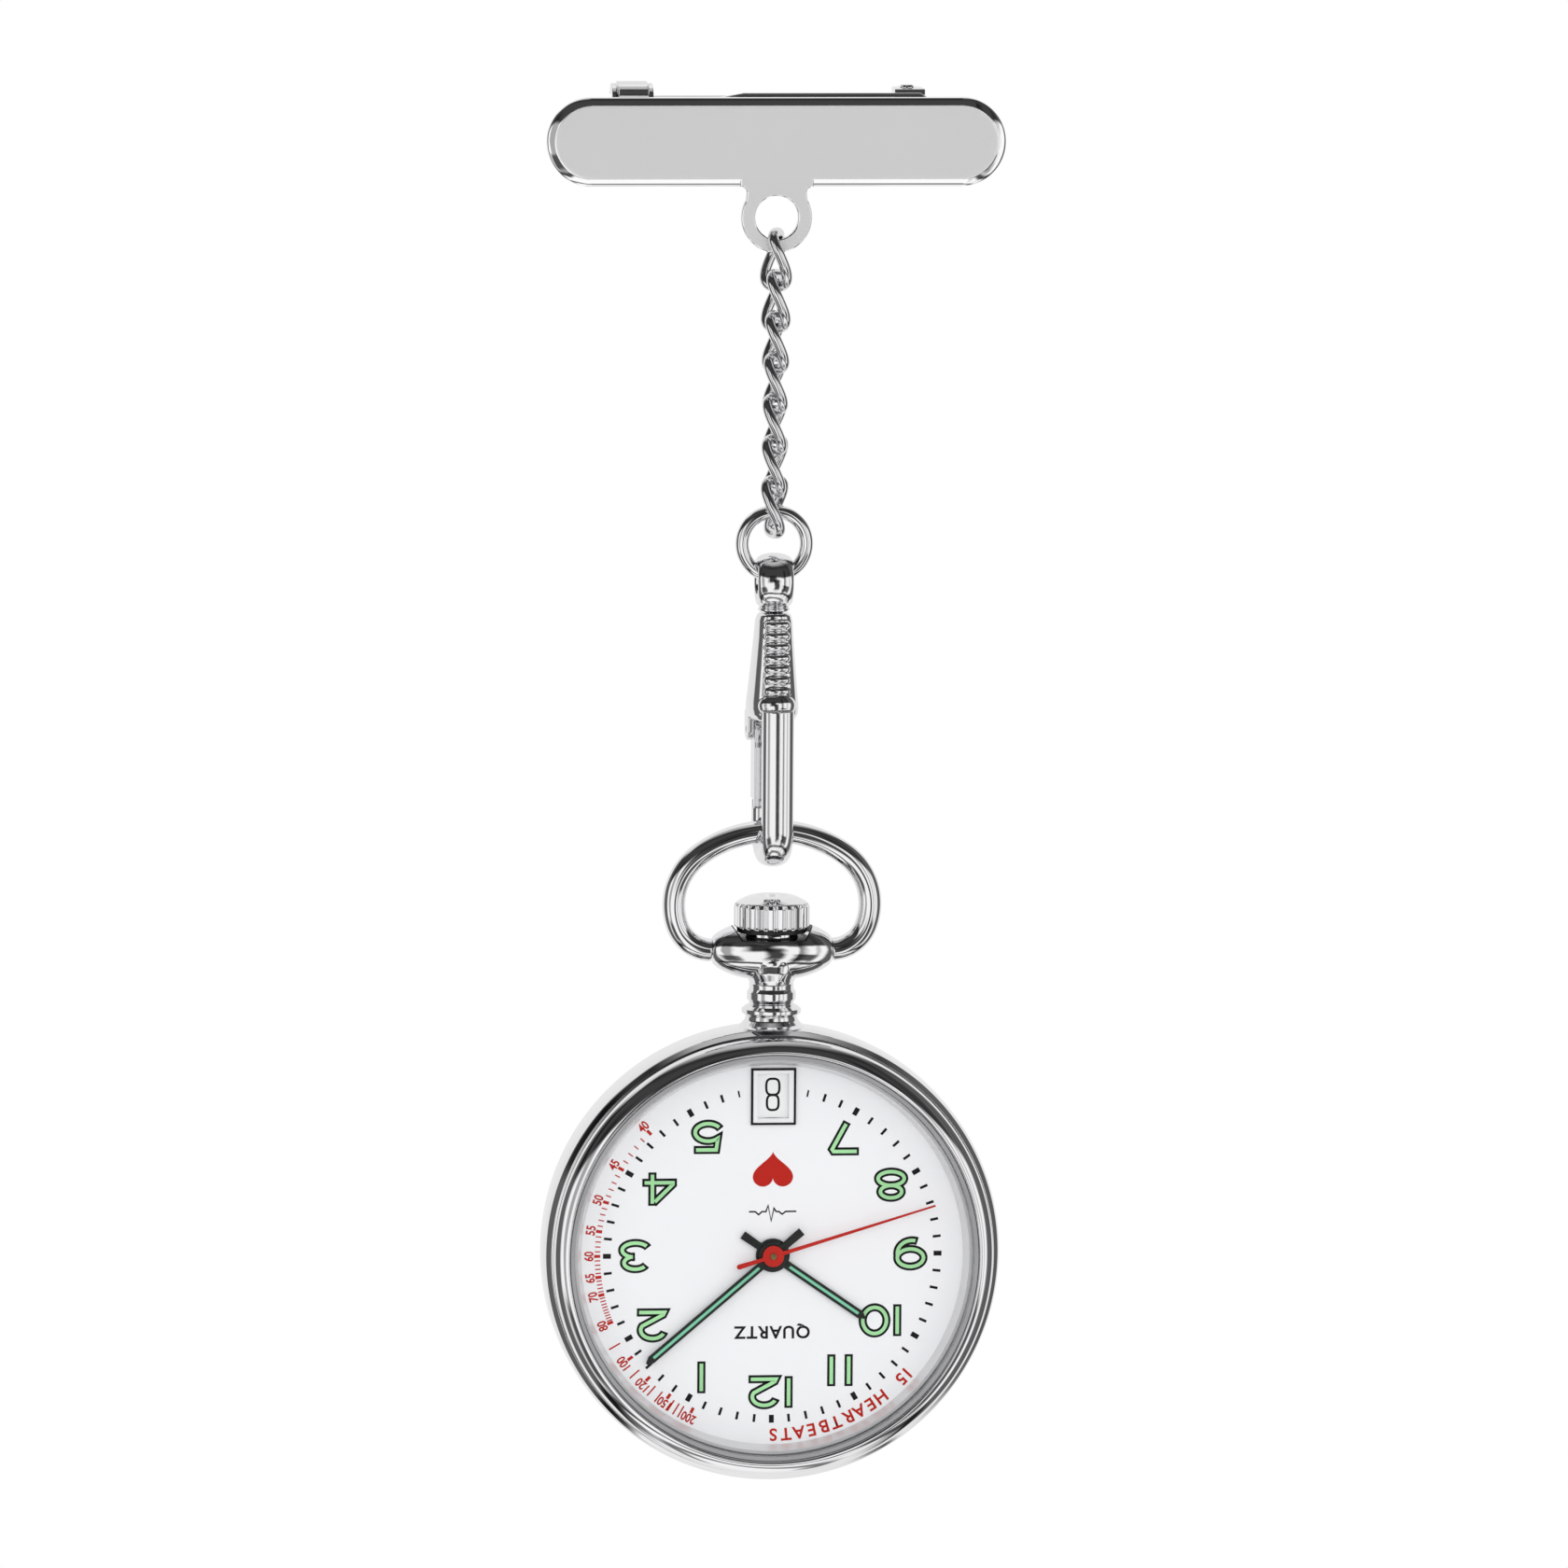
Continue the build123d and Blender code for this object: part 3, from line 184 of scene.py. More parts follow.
LUME_HAND = material("lume_hand", (0.20, 0.56, 0.37), 0.6, 0.0, (6000, 6000, 6000), 0.3, 0.10, 0.08,
                     emission=(0.20, 0.66, 0.40, 0.02), spec=0.2)
HAND = material("hand_anthracite", (0.016, 0.019, 0.017), 0.34, 0.0, (4000, 4000, 4000), 0.06, 0.1, 0.05, coat=0.05, spec=0.4)
# Near-black steel used only as painted shade: the seat under the crown and the crown's lower ring.
SHADE_BLACK = material("painted_shade_steel", (0.035, 0.035, 0.037), 0.35, 0.8, (4000, 4000, 4000), 0.1, 0.1, 0.06)
HAND_RED = material("hand_red_lacquer", (0.50, 0.016, 0.009), 0.36, 0.0, (4000, 4000, 4000), 0.04, 0.05, 0.04, coat=0.05, spec=0.25)
SATIN_BAR = edge_polished("steel_satin_bar")
RUBBER = material("seal_rubber", (0.02, 0.02, 0.02), 0.6, 0.0, (3000, 3000, 3000), 0.2, 0.1, 0.08)
SEAL_GREY = material("seal_crystal", (0.30, 0.30, 0.31), 0.45, 0.0, (3000, 3000, 3000), 0.1, 0.1, 0.06)
NYLON = material("nylon_moulded", (0.80, 0.80, 0.77), 0.5, 0.0, (1500, 1500, 1500), 0.15, 0.02, 0.06)
BOARD = material("board_mask", (0.03, 0.17, 0.07), 0.35, 0.0, (2500, 2500, 2500), 0.1, 0.15, 0.06)
COPPER = material("copper_winding", (0.62, 0.25, 0.10), 0.3, 1.0, (300, 300, 14000), 0.6, 0.1, 0.08)
MAGNET = material("magnet_sintered", (0.10, 0.10, 0.11), 0.5, 0.6, (5000, 5000, 5000), 0.3, 0.15, 0.08)


def crystal_material():
    m = bpy.data.materials.new("mineral_crystal")
    m.use_nodes = True
    n = Nodes(m.node_tree)
    out = n.add("ShaderNodeOutputMaterial")
    mix = n.add("ShaderNodeMixShader")
    clear = n.add("ShaderNodeBsdfTransparent")
    clear.inputs["Color"].default_value = (0.99, 0.992, 0.992, 1)
    gloss = n.add("ShaderNodeBsdfGlossy")
    gloss.inputs["Roughness"].default_value = 0.01
    side = n.add("ShaderNodeLayerWeight")
    side.inputs["Blend"].default_value = 0.5
    power = n.math("POWER", (side, "Facing"), 4.0)
    fres = n.math("ADD", (n.math("MULTIPLY", (power, 0), 0.45), 0), 0.018)
    tc = n.add("ShaderNodeTexCoord")
    nz = n.add("ShaderNodeTexNoise")
    nz.inputs["Scale"].default_value = 300.0
    n.link(tc, "Object", nz, "Vector")
    mr = n.add("ShaderNodeMapRange")
    mr.inputs["To Min"].default_value, mr.inputs["To Max"].default_value = 0.004, 0.02
    n.link(nz, "Fac", mr, "Value")
    n.link(mr, "Result", gloss, "Roughness")
    n.link(fres, 0, mix, "Fac")
    n.link(clear, "BSDF", mix, 1)
    n.link(gloss, "BSDF", mix, 2)
    n.link(mix, "Shader", out, "Surface")
    return m


GLASS = crystal_material()


# --------------------------------------------------------------- meshing ----
def link_new(name, me):
    ob = bpy.data.objects.new(name, me)
    bpy.context.scene.collection.objects.link(ob)
    return ob


def evaluated(ob):
    """Mesh of ob with its modifiers applied; ob is removed."""
    dg = bpy.context.evaluated_depsgraph_get()
    dg.update()
    me = bpy.data.meshes.new_from_object(ob.evaluated_get(dg), preserve_all_data_layers=True, depsgraph=dg)
    old = ob.data
    bpy.data.objects.remove(ob)
    if isinstance(old, bpy.types.Mesh) and old.users == 0:
        bpy.data.meshes.remove(old)
    return me


def raw(verts, faces, weld=0.0):
    me = bpy.data.meshes.new("m")
    me.from_pydata([tuple(map(float, v)) for v in verts], [], [tuple(int(i) for i in f) for f in faces])
    bm = bmesh.new()
    bm.from_mesh(me)
    if weld:
        bmesh.ops.remove_doubles(bm, verts=bm.verts, dist=weld)
    bmesh.ops.recalc_face_normals(bm, faces=bm.faces)
    bm.to_mesh(me)
    bm.free()
    return me


def joined(meshes):
    """One mesh of several, each left as its own closed shell."""
    verts, faces, base = [], [], 0
    for me in meshes:
        co = np.zeros(len(me.vertices) * 3)
        me.vertices.foreach_get("co", co)
        verts.append(co.reshape(-1, 3))
        faces += [[base + i for i in p.vertices] for p in me.polygons]
        base += len(me.vertices)
    out = bpy.data.meshes.new("j")
    out.from_pydata([tuple(v) for v in np.concatenate(verts)], [], faces)
    return out


def piece(name, me, mat, body, nodes=(), angle=34.0, weighted=True):
    """A finished visible piece from a mesh in millimetres."""
    me.materials.clear()
    me.materials.append(mat)
    me.polygons.foreach_set("material_index", [0] * len(me.polygons))
    me.polygons.foreach_set("use_smooth", [True] * len(me.polygons))
    me.set_sharp_from_angle(angle=math.radians(angle))
    if weighted:
        ob = link_new("tmp", me)
        w = ob.modifiers.new("w", "WEIGHTED_NORMAL")
        w.mode, w.weight, w.keep_sharp = "FACE_AREA", 80, True
        me = evaluated(ob)
    me.transform(Matrix.Scale(K, 4))
    me.name = name
    ob = link_new(name, me)
    if nodes:
        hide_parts(*nodes)
    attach(ob, body)
    return ob


def pW(r, s, f):
    return (r * math.cos(f), Y0 + s, ZC + r * math.sin(f))


def pV(r, z, f):
    return (r * math.cos(f), Y0 + r * math.sin(f), z)


def lathe(prof, n, place):
    """Closed profile turned about an axis; points on the axis become poles."""
    verts, rings = [], []
    for r, h in prof:
        if r < 1e-6:
            verts.append(place(0, h, 0))
            rings.append([len(verts) - 1] * n)
        else:
            rings.append(list(range(len(verts), len(verts) + n)))
            verts += [place(r, h, 2 * pi * k / n) for k in range(n)]
    faces = []
    for i in range(len(prof)):
        a, b = rings[i], rings[(i + 1) % len(prof)]
        if a[0] == a[1] and b[0] == b[1]:
            continue
        for k in range(n):
            q = (k + 1) % n
            f = []
            for v in (a[k], a[q], b[q], b[k]):
                if v not in f:
                    f.append(v)
            faces.append(f)
    return raw(verts, faces)


def rp(pts, seg=5):
    """Closed profile with rounded corners. Points are (x, y) or (x, y, fillet)."""
    out, n = [], len(pts)
    for i, q in enumerate(pts):
        p = np.array(q[:2], float)
        f = q[2] if len(q) > 2 else 0
        if f <= 0:
            out.append(tuple(p))
            continue
        a, b = np.array(pts[i - 1][:2], float), np.array(pts[(i + 1) % n][:2], float)
        la, lb = np.linalg.norm(a - p), np.linalg.norm(b - p)
        u, v = (a - p) / la, (b - p) / lb
        ang = math.acos(max(-1, min(1, float(u @ v))))
        if ang > pi - 0.02:
            out.append(tuple(p))
            continue
        t = min(f / math.tan(ang / 2), 0.46 * la, 0.46 * lb)
        r = t * math.tan(ang / 2)
        w = u + v
        c = p + w / np.linalg.norm(w) * (r / math.sin(ang / 2))
        s, e = p + u * t - c, p + v * t - c
        a0 = math.atan2(s[1], s[0])
        d = (math.atan2(e[1], e[0]) - a0 + pi) % (2 * pi) - pi
        for k in range(seg + 1):
            g = a0 + d * k / seg
            out.append((c[0] + r * math.cos(g), c[1] + r * math.sin(g)))
    return out


def tube(path, radius, n=24, closed=False, section=None, up=None):
    """Round (or given) section along a 3-D path, with least twist, or with its first axis held at up."""
    P = np.array(path, float)
    m = len(P)
    T = np.zeros_like(P)
    for i in range(m):
        if closed:
            T[i] = P[(i + 1) % m] - P[i - 1]
        else:
            T[i] = P[min(i + 1, m - 1)] - P[max(i - 1, 0)]
        T[i] /= np.linalg.norm(T[i])
    U = np.zeros_like(P)
    if up is not None:
        U[:] = np.array(up, float)
    else:
        ref = np.array([0, 0, 1.0]) if abs(T[0][2]) < 0.9 else np.array([1.0, 0, 0])
        u = np.cross(T[0], ref)
        U[0] = u / np.linalg.norm(u)
        for i in range(1, m):
            u = U[i - 1] - (U[i - 1] @ T[i]) * T[i]
            U[i] = u / np.linalg.norm(u)
        if closed:
            u = U[-1] - (U[-1] @ T[0]) * T[0]
            u /= np.linalg.norm(u)
            off = math.atan2(np.cross(U[0], u) @ T[0], U[0] @ u)
            for i in range(m):
                g = -off * i / m
                V = np.cross(T[i], U[i])
                U[i] = U[i] * math.cos(g) + V * math.sin(g)
    if section is None:
        section = [(math.cos(2 * pi * k / n), math.sin(2 * pi * k / n)) for k in range(n)]
    n = len(section)
    R = np.broadcast_to(np.array(radius, float), (m,))
    verts = []
    for i in range(m):
        V = np.cross(T[i], U[i])
        verts += [P[i] + R[i] * (a * U[i] + b * V) for a, b in section]
    faces = []
    for i in range(m if closed else m - 1):
        j = (i + 1) % m
        for k in range(n):
            q = (k + 1) % n
            faces.append((i * n + k, i * n + q, j * n + q, j * n + k))
    if not closed:
        for i, flip in ((0, True), (m - 1, False)):
            verts.append(P[i])
            c = len(verts) - 1
            for k in range(n):
                faces.append((i * n + k, i * n + (k + 1) % n, c))
    return raw(verts, faces)


def plate(loops, z0, z1, bevel, place, res=4):
    """Flat shape from closed 2-D loops (holes by inner loops), edges rounded by bevel; place maps (x, y, z)."""
    cu = bpy.data.curves.new("c", "CURVE")
    cu.dimensions, cu.fill_mode = "2D", "BOTH"
    for loop in loops:
        sp = cu.splines.new("POLY")
        sp.points.add(len(loop) - 1)
        for q, (x, y) in zip(sp.points, loop):
            q.co = (x, y, 0, 1)
        sp.use_cyclic_u = True
    cu.extrude = (z1 - z0) / 2 - bevel
    cu.bevel_depth, cu.bevel_resolution, cu.offset = bevel, res, -bevel
    me = evaluated(link_new("tmp", cu))
    co = np.zeros(len(me.vertices) * 3)
    me.vertices.foreach_get("co", co)
    co = co.reshape(-1, 3)
    co[:, 2] += (z0 + z1) / 2
    co = np.array([place(*v) for v in co])
    return raw(co, [list(p.vertices) for p in me.polygons], weld=1e-5)


def circle(r, n=96, cx=0.0, cy=0.0, start=0.0):
    return [(cx + r * math.cos(start + 2 * pi * k / n), cy + r * math.sin(start + 2 * pi * k / n)) for k in range(n)]


def remeshed(me, voxel, smooth=4, factor=0.5):
    ob = link_new("tmp", me)
    r = ob.modifiers.new("r", "REMESH")
    r.mode, r.voxel_size = "VOXEL", voxel
    if smooth:
        s = ob.modifiers.new("s", "SMOOTH")
        s.factor, s.iterations = factor, smooth
    return evaluated(ob)


def cut(me, cutters, op="DIFFERENCE"):
    """Difference (or common volume) of me and each cutter mesh."""
    ob = link_new("tmp", me)
    made = []
    for c in cutters:
        co = link_new("cut", c)
        made.append(co)
        b = ob.modifiers.new("b", "BOOLEAN")
        b.operation, b.solver, b.object = op, "EXACT", co
    out = evaluated(ob)
    for co in made:
        bpy.data.objects.remove(co)
    return out


def front(x, z, h):
    """Upright plane facing the viewer: h is towards the front."""
    return (x, -h, z)


# ================================================================= brooch ===
def stadium(w, h, n=40):
    r = h / 2
    pts = []
    for k in range(n + 1):
        f = -pi / 2 + pi * k / n
        pts.append((w / 2 - r + r * math.cos(f), r * math.sin(f)))
    for k in range(n + 1):
        f = pi / 2 + pi * k / n
        pts.append((-w / 2 + r + r * math.cos(f), r * math.sin(f)))
    return pts


def bar_outline():
    """Tongue and ear under the bar, as one loop, running up into the bar."""
    ez, R, lo, g = -7.3, 2.3, -5.3, 0.44
    pts = [(-2.39, -4.6), (-2.39, lo)]
    for k in range(9):
        f = pi / 2 - pi / 2 * k / 8
        pts.append((-1.95 - g + g * math.cos(f), lo - g + g * math.sin(f)))
    a0 = math.acos(1.95 / R)
    for k in range(1, 96):
        f = pi - a0 + (pi + 2 * a0) * k / 96
        pts.append((R * math.cos(f), ez + R * math.sin(f)))
    for k in range(9):
        f = pi - pi / 2 * k / 8
        pts.append((1.95 + g + g * math.cos(f), lo - g + g * math.sin(f)))
    return pts + [(2.39, lo), (2.39, -4.6)]


def lofted(rows, place):
    """Solid skin through outlines of equal point count; rows are (outline, height)."""
    verts, faces, n = [], [], len(rows[0][0])
    for loop, h in rows:
        verts += [place(x, y, h) for x, y in loop]
    for i in range(len(rows) - 1):
        for k in range(n):
            q = (k + 1) % n
            faces.append((i * n + k, i * n + q, (i + 1) * n + q, (i + 1) * n + k))
    faces += [tuple(range(n)), tuple(range((len(rows) - 1) * n, len(rows) * n))]
    return raw(verts, faces)


edge = [(.28, 2.40), (.14, 2.42), (.05, 2.48), (.0, 2.58), (.0, 2.78), (.012, 2.85), (.045, 2.91), (.09, 2.955), (.15, 2.995)]
edge += [(.15 + .30 * t, 2.995 + .155 * t ** .92) for t in np.linspace(0.15, 1, 7)] + [(.49, 3.170), (.53, 3.184), (.58, 3.194), (.64, 3.199), (.70, 3.20)]
bar = lofted([([(x, z - 2.4) for x, z in stadium(29.9 - 2 * i, 5.8 - 2 * i, 72)], h) for i, h in edge], front)
ear = plate([bar_outline(), circle(1.4, 120, 0, -7.3)], 2.4, 3.198, 0.13, front, res=3)
pad = plate([[(x, z - 2.4) for x, z in stadium(29.7, 5.6)]], 2.2, 2.62, 0.08, front)
piece("bar", joined([bar, ear, pad]), SATIN_BAR, "brooch", ["brooch_bar"], angle=12)

strip = plate([[(-12, .30), (-4.4, .30), (-2.1, .72), (9.4, .72), (10.3, .2), (10.3, -1.3), (-12, -1.3)]],
              1.7, 2.2, 0.06, front, res=3)
leaves = []
for z0, z1 in ((-0.95, -0.55), (0.55, 0.95)):
    loop = [(7.77, -1.9)] + [(8.75 + .98 * math.cos(f), .98 * math.sin(f)) for f in np.linspace(pi, 0, 40)] + [(9.73, -1.9)]
    leaves.append(plate([loop, circle(.30, 40, 8.75, 0)], z0, z1, 0.05, lambda x, y, z: (x, y, z), res=3))
piece("pin_strip", joined([strip] + leaves), CHROME_CAST, "brooch", ["pin_base"])

riv = rp([(0, -1.12), (.40, -1.12, .1), (.50, -.98, .06), (.50, -.95), (.30, -.95), (.30, .95), (.50, .95),
          (.50, .98, .06), (.40, 1.12, .1), (0, 1.12)])
piece("hinge_rivet", lathe(riv, 64, lambda r, z, f: (8.75 + r * math.cos(f), r * math.sin(f), z)), CHROME, "brooch",
      ["pin_rivet"])

needle_prof = rp([(0, 8.2), (.30, 8.2), (.40, 7.4, .3), (.40, -7.4, .5), (.37, -8.6, .5),
                  (.20, -10.6, 1.0), (.05, -11.27, .05), (0, -11.3)])
needle = lathe(needle_prof, 48, lambda r, x, f: (x, r * math.cos(f), r * math.sin(f)))
eye = plate([circle(.92, 72, 8.75, 0), circle(.34, 48, 8.75, 0)], -0.48, 0.48, 0.08, lambda x, y, z: (x, y, z))
piece("needle", joined([needle, eye]), STEEL, "needle", ["brooch_pin"])


def yz(x0):
    return lambda a, b, h: (x0 + h, a, b)


gap = math.asin(.49 / 1.354)
ring = [(1.354 * math.cos(f), 1.354 * math.sin(f)) for f in np.linspace(gap, 2 * pi - gap, 90)]
g2 = math.asin(.49 / .93)
ring += [(.93 * math.cos(f), .93 * math.sin(f)) for f in np.linspace(2 * pi - g2, g2, 80)]
catch = plate([ring], 0, 2.0, 0.09, yz(-10.2), res=3)
foot = plate([[(-1.7, -.95), (-1.0, -.95), (-.86, -.55), (-.86, .55), (-1.0, .95), (-1.7, .95)]], 0, 2.0, 0.06, yz(-10.2), res=3)
piece("catch_ring", joined([catch, foot]), CHROME_CAST, "brooch", ["pin_catch"])


def slotted(R, r, h, n=80):
    """Disc or tube section with a slot of half width h open towards +a."""
    o, i = math.asin(h / R), math.asin(min(1, h / r) if r else 0)
    loop = [(R * math.cos(f), R * math.sin(f)) for f in np.linspace(o, 2 * pi - o, n)]
    loop += [(r * math.cos(f), r * math.sin(f)) for f in np.linspace(2 * pi - i, i, n // 2)]
    return loop


t0 = math.radians(-62)
tab = [(0.5, -.31), (2.1, -.31), (2.3, -.12), (2.3, .12), (2.1, .31), (0.5, .31)]
tab = [(a * math.cos(t0) - b * math.sin(t0), a * math.sin(t0) + b * math.cos(t0)) for a, b in tab]
rot = [plate([slotted(.88, .465, .46)], 0.1, 2.6, 0.05, yz(-10.55), res=2),
       plate([slotted(1.22, .465, .46)], 0, 0.31, 0.07, yz(-10.55), res=3),
       plate([slotted(1.22, .465, .46)], 2.39, 2.70, 0.07, yz(-10.55), res=3),
       plate([tab], 0, 0.31, 0.07, yz(-10.55), res=3)]
piece("catch_rotor_turned", joined(rot), CHROME, "catch_lock", ["catch_rotor"])

# ================================================================== chain ===
PSI = (-72, -80, -87, -93, -98, -102, -105)
LINK1 = -7.3 - 1.4 + 0.35 + 0.05 - 1.748
for i in range(7):
    zc, psi, pts = LINK1 - i * 2.68, PSI[i], []
    for k in range(120):
        t = 2 * pi * k / 120
        c, s = math.cos(t), math.sin(t)
        u = 1.0 * math.copysign(abs(c) ** (2 / 2.9), c)
        v = 1.748 * math.copysign(abs(s) ** (2 / 2.9), s)
        pts.append((u, v))
    # even spacing along the curve
    P = np.array([(u * math.cos(math.radians(psi - 46 * v / 1.748)), Y0 + u * math.sin(math.radians(psi - 46 * v / 1.748)),
                   zc + v) for u, v in pts])
    d = np.r_[0, np.cumsum(np.linalg.norm(np.roll(P, -1, 0) - P, axis=1))]
    Q = np.array([np.interp(np.linspace(0, d[-1], 121)[:-1], d, np.r_[P[:, a], P[0, a]]) for a in range(3)]).T
    for _ in range(2):
        Q = Q * 0.5 + (np.roll(Q, 1, 0) + np.roll(Q, -1, 0)) * 0.25
    piece(f"link_{i + 1}", tube(Q, 0.35, 28, closed=True), CHROME_WIRE, f"link_{i + 1}", [f"chain_link_{i + 1}"],
          weighted=False)

ringp = [(2.10 * math.cos(2 * pi * k / 160), Y0, -28.55 + 2.10 * math.sin(2 * pi * k / 160)) for k in range(160)]
piece("split_ring", tube(ringp, 0.44, 36, closed=True), CHROME, "ring", ["jump_ring"], weighted=False)

# ================================================================== clasp ===
EZ = -30.99
band = [(1.35 + .50 * math.sin(t), 1.17 * math.cos(t)) for t in np.linspace(0, 2 * pi, 48, endpoint=False)]
band = lathe(band, 128, lambda r, x, f: (x, Y0 + r * math.cos(f), EZ + r * math.sin(f)))
neck = lathe(rp([(0, -31.95), (.62, -31.95), (.92, -32.30, .1), (1.02, -32.52, .08), (.84, -32.62, .03), (.84, -32.68, .03),
                 (1.04, -32.72, .05), (1.04, -32.90, .05), (.58, -32.96), (.58, -34.30), (.92, -34.30, .05),
                 (.92, -34.70, .05), (0, -34.70)]), 96, pV)
hole = lathe([(0, -2), (.84, -2), (.84, 2), (0, 2)], 96, lambda r, x, f: (x, Y0 + r * math.cos(f), EZ + r * math.sin(f)))
eye_body = remeshed(joined([band, neck]), 0.032, 3)
piece("swivel_eye_cast", eye_body, CHROME, "eye", ["swivel_eye"], weighted=False)

ca, sa = math.cos(math.radians(5)), math.sin(math.radians(5))


def cl(t, b, z):
    """Clasp's own (width, back, height) to the row frame."""
    return (t * ca - b * sa, Y0 + t * sa + b * ca, z)


def superellipse(w, d, p, n=72):
    out = []
    for k in range(n):
        c, s = math.cos(2 * pi * k / n), math.sin(2 * pi * k / n)
        out.append((w / 2 * math.copysign(abs(c) ** (2 / p), c), d / 2 * math.copysign(abs(s) ** (2 / p), s)))
    return out


SECT = [(-33.02, 1.85, 2.15, -.15, 2.4), (-33.16, 2.16, 2.42, -.10, 2.5), (-33.55, 2.38, 2.72, 0.0, 2.6),
        (-34.6, 2.50, 2.98, 0.08, 2.7), (-36.6, 2.86, 3.42, 0.22, 2.6), (-38.5, 3.20, 3.86, 0.37, 2.6),
        (-38.9, 3.28, 4.02, 0.41, 2.6), (-39.3, 3.32, 4.10, 0.42, 2.6), (-39.65, 3.22, 4.02, 0.40, 2.6),
        (-39.95, 2.84, 3.76, 0.32, 2.6), (-40.08, 2.30, 3.40, 0.26, 2.6)]
verts, faces, n = [], [], 72
for z, w, d, yc, p in SECT:
    verts += [cl(t, b + yc, z) for t, b in superellipse(w, d, p, n)]
for i in range(len(SECT) - 1):
    for k in range(n):
        q = (k + 1) % n
        faces.append((i * n + k, i * n + q, (i + 1) * n + q, (i + 1) * n + k))
faces += [tuple(range(n)), tuple(range((len(SECT) - 1) * n, len(SECT) * n))]
barrel = raw(verts, faces)
ribs = []
for k in range(7):
    b0, z0 = -1.33 - .02 * k, -33.75 - .72 * k
    T = np.linspace(-.80, .80, 21)
    path = [cl(t, b0 + 0.05 + 0.20 * (abs(t) / .8) ** 2, z0) for t in T]
    ribs.append(tube(path, [max(.03, .33 * (1 - (abs(t) / .82) ** 6) ** .5) for t in T], 20))
spine = [(-1.675, z) for z in np.linspace(-39.3, -47.24, 34)]
spine += [(1.675 * math.cos(f), -47.24 + 1.675 * math.sin(f)) for f in np.linspace(pi, 2 * pi, 40)[1:]]
spine += [(1.675, z) for z in np.linspace(-47.24, -45.45, 9)[1:]]
sec = superellipse(2.12, 1.52, 2.15, 48)
hook = tube([cl(0, b, z) for b, z in spine], 1.0, section=sec, up=(ca, sa, 0))
cheeks = []
for a, b in ((-1.44, -1.06), (1.06, 1.44)):
    loop = [(1.72 + .72 * math.cos(f), -40.85 + .72 * math.sin(f)) for f in np.linspace(pi, 2 * pi, 40)]
    loop += [(2.44, -39.6), (1.00, -39.6)]
    cheeks.append(plate([loop], a, b, 0.06, lambda x, y, h: cl(h, x, y), res=2))
ball = lathe([(math.sin(t), -math.cos(t)) for t in np.linspace(0, pi, 33)], 48,
             lambda r, h, f: cl(1.22 * r * math.cos(f), -1.22 + .74 * r * math.sin(f), -39.02 + .92 * h))
body = remeshed(joined([barrel, hook, ball] + ribs + cheeks), 0.045, 4)
axis_b, axis_z = 1.72, -40.85


def side_cyl(r, t0, t1, n=48):
    return lathe([(0, t0), (r, t0), (r, t1), (0, t1)], n,
                 lambda q, t, f: cl(t, axis_b + q * math.cos(f), axis_z + q * math.sin(f)))


def clasp_box(b0, b1, z0, z1, t=1.5):
    v = [cl(x, b, z) for x in (-t, t) for b in (b0, b1) for z in (z0, z1)]
    return raw(v, [(0, 1, 3, 2), (4, 6, 7, 5), (0, 4, 5, 1), (2, 3, 7, 6), (0, 2, 6, 4), (1, 5, 7, 3)])


swbore = lathe([(0, -35.0), (.98, -35.0), (.98, -34.25), (.62, -34.25), (.62, -32.0), (0, -32.0)], 64, pV)
body = cut(body, [clasp_box(.70, 1.54, -46.01, -45.3), side_cyl(.88, -1.06, 1.06), swbore])
piece("clasp_casting", body, CHROME_CAST, "clasp", ["clasp_body"], weighted=False, angle=42)

gate_side = [(1.05, -41.45), (.97, -42.0), (.97, -45.90), (1.48, -45.90), (1.48, -45.42), (2.36, -45.42), (2.41, -41.45)]
gate_parts = [plate([gate_side], -1.02, 1.02, 0.05, lambda x, y, h: cl(h, x, y), res=2)]
for a, b in ((-1.02, -.48), (.48, 1.02)):
    loop = [(1.72 + .70 * math.cos(f), -40.85 + .70 * math.sin(f)) for f in np.linspace(0, pi, 40)]
    loop += [(1.02, -41.7), (2.41, -41.7)]
    gate_parts.append(plate([loop], a, b, 0.05, lambda x, y, h: cl(h, x, y), res=2))
gate = cut(remeshed(joined(gate_parts), 0.035, 3), [side_cyl(.33, -1.3, 1.3), side_cyl(.80, -.47, .47)])
piece("gate", gate, CHROME_CAST, "gate", ["clasp_gate"], weighted=False, angle=40)
pinp = rp([(0, -1.44), (.30, -1.44, .08), (.30, 1.44, .08), (0, 1.44)])
piece("gate_axle", lathe(pinp, 48, lambda q, t, f: cl(t, axis_b + q * math.cos(f), axis_z + q * math.sin(f))), STEEL, "clasp",
      ["gate_pin"])
coil = []
for k in range(3 * 40 + 1):
    f = 2 * pi * k / 40
    coil.append(cl(-.26 + .52 * k / 120, axis_b + .56 * math.cos(f), axis_z + .56 * math.sin(f)))
piece("gate_coil", tube(coil, 0.12, 14), STEEL, "clasp", ["gate_spring"], weighted=False)

# ==================================================================== bow ===
pts, x, z, head = [], -3.93, PIV, pi
for r, turn in ((2.40, 70), (4.0743, 75), (8.1830, 70), (4.0743, 75), (2.40, 70)):
    cx, cz = x + r * math.sin(head), z - r * math.cos(head)
    steps = max(8, int(r * math.radians(turn) / 0.11))
    for k in range(steps):
        h = head - math.radians(turn) * k / steps
        pts.append((cx - r * math.sin(h), Y0, cz + r * math.cos(h)))
    head -= math.radians(turn)
    x, z = cx - r * math.sin(head), cz + r * math.cos(head)
pts.append((x, Y0, z))
rad = np.full(len(pts), 0.75)
P = np.array(pts)
for _ in range(6):
    P[1:-1] = P[1:-1] * .5 + (P[2:] + P[:-2]) * .25
rad[0] = rad[-1] = 0.66
P = np.insert(P, 1, P[0] + (P[1] - P[0]) * 0.45, 0)
P = np.insert(P, -1, P[-1] + (P[-2] - P[-1]) * 0.45, 0)
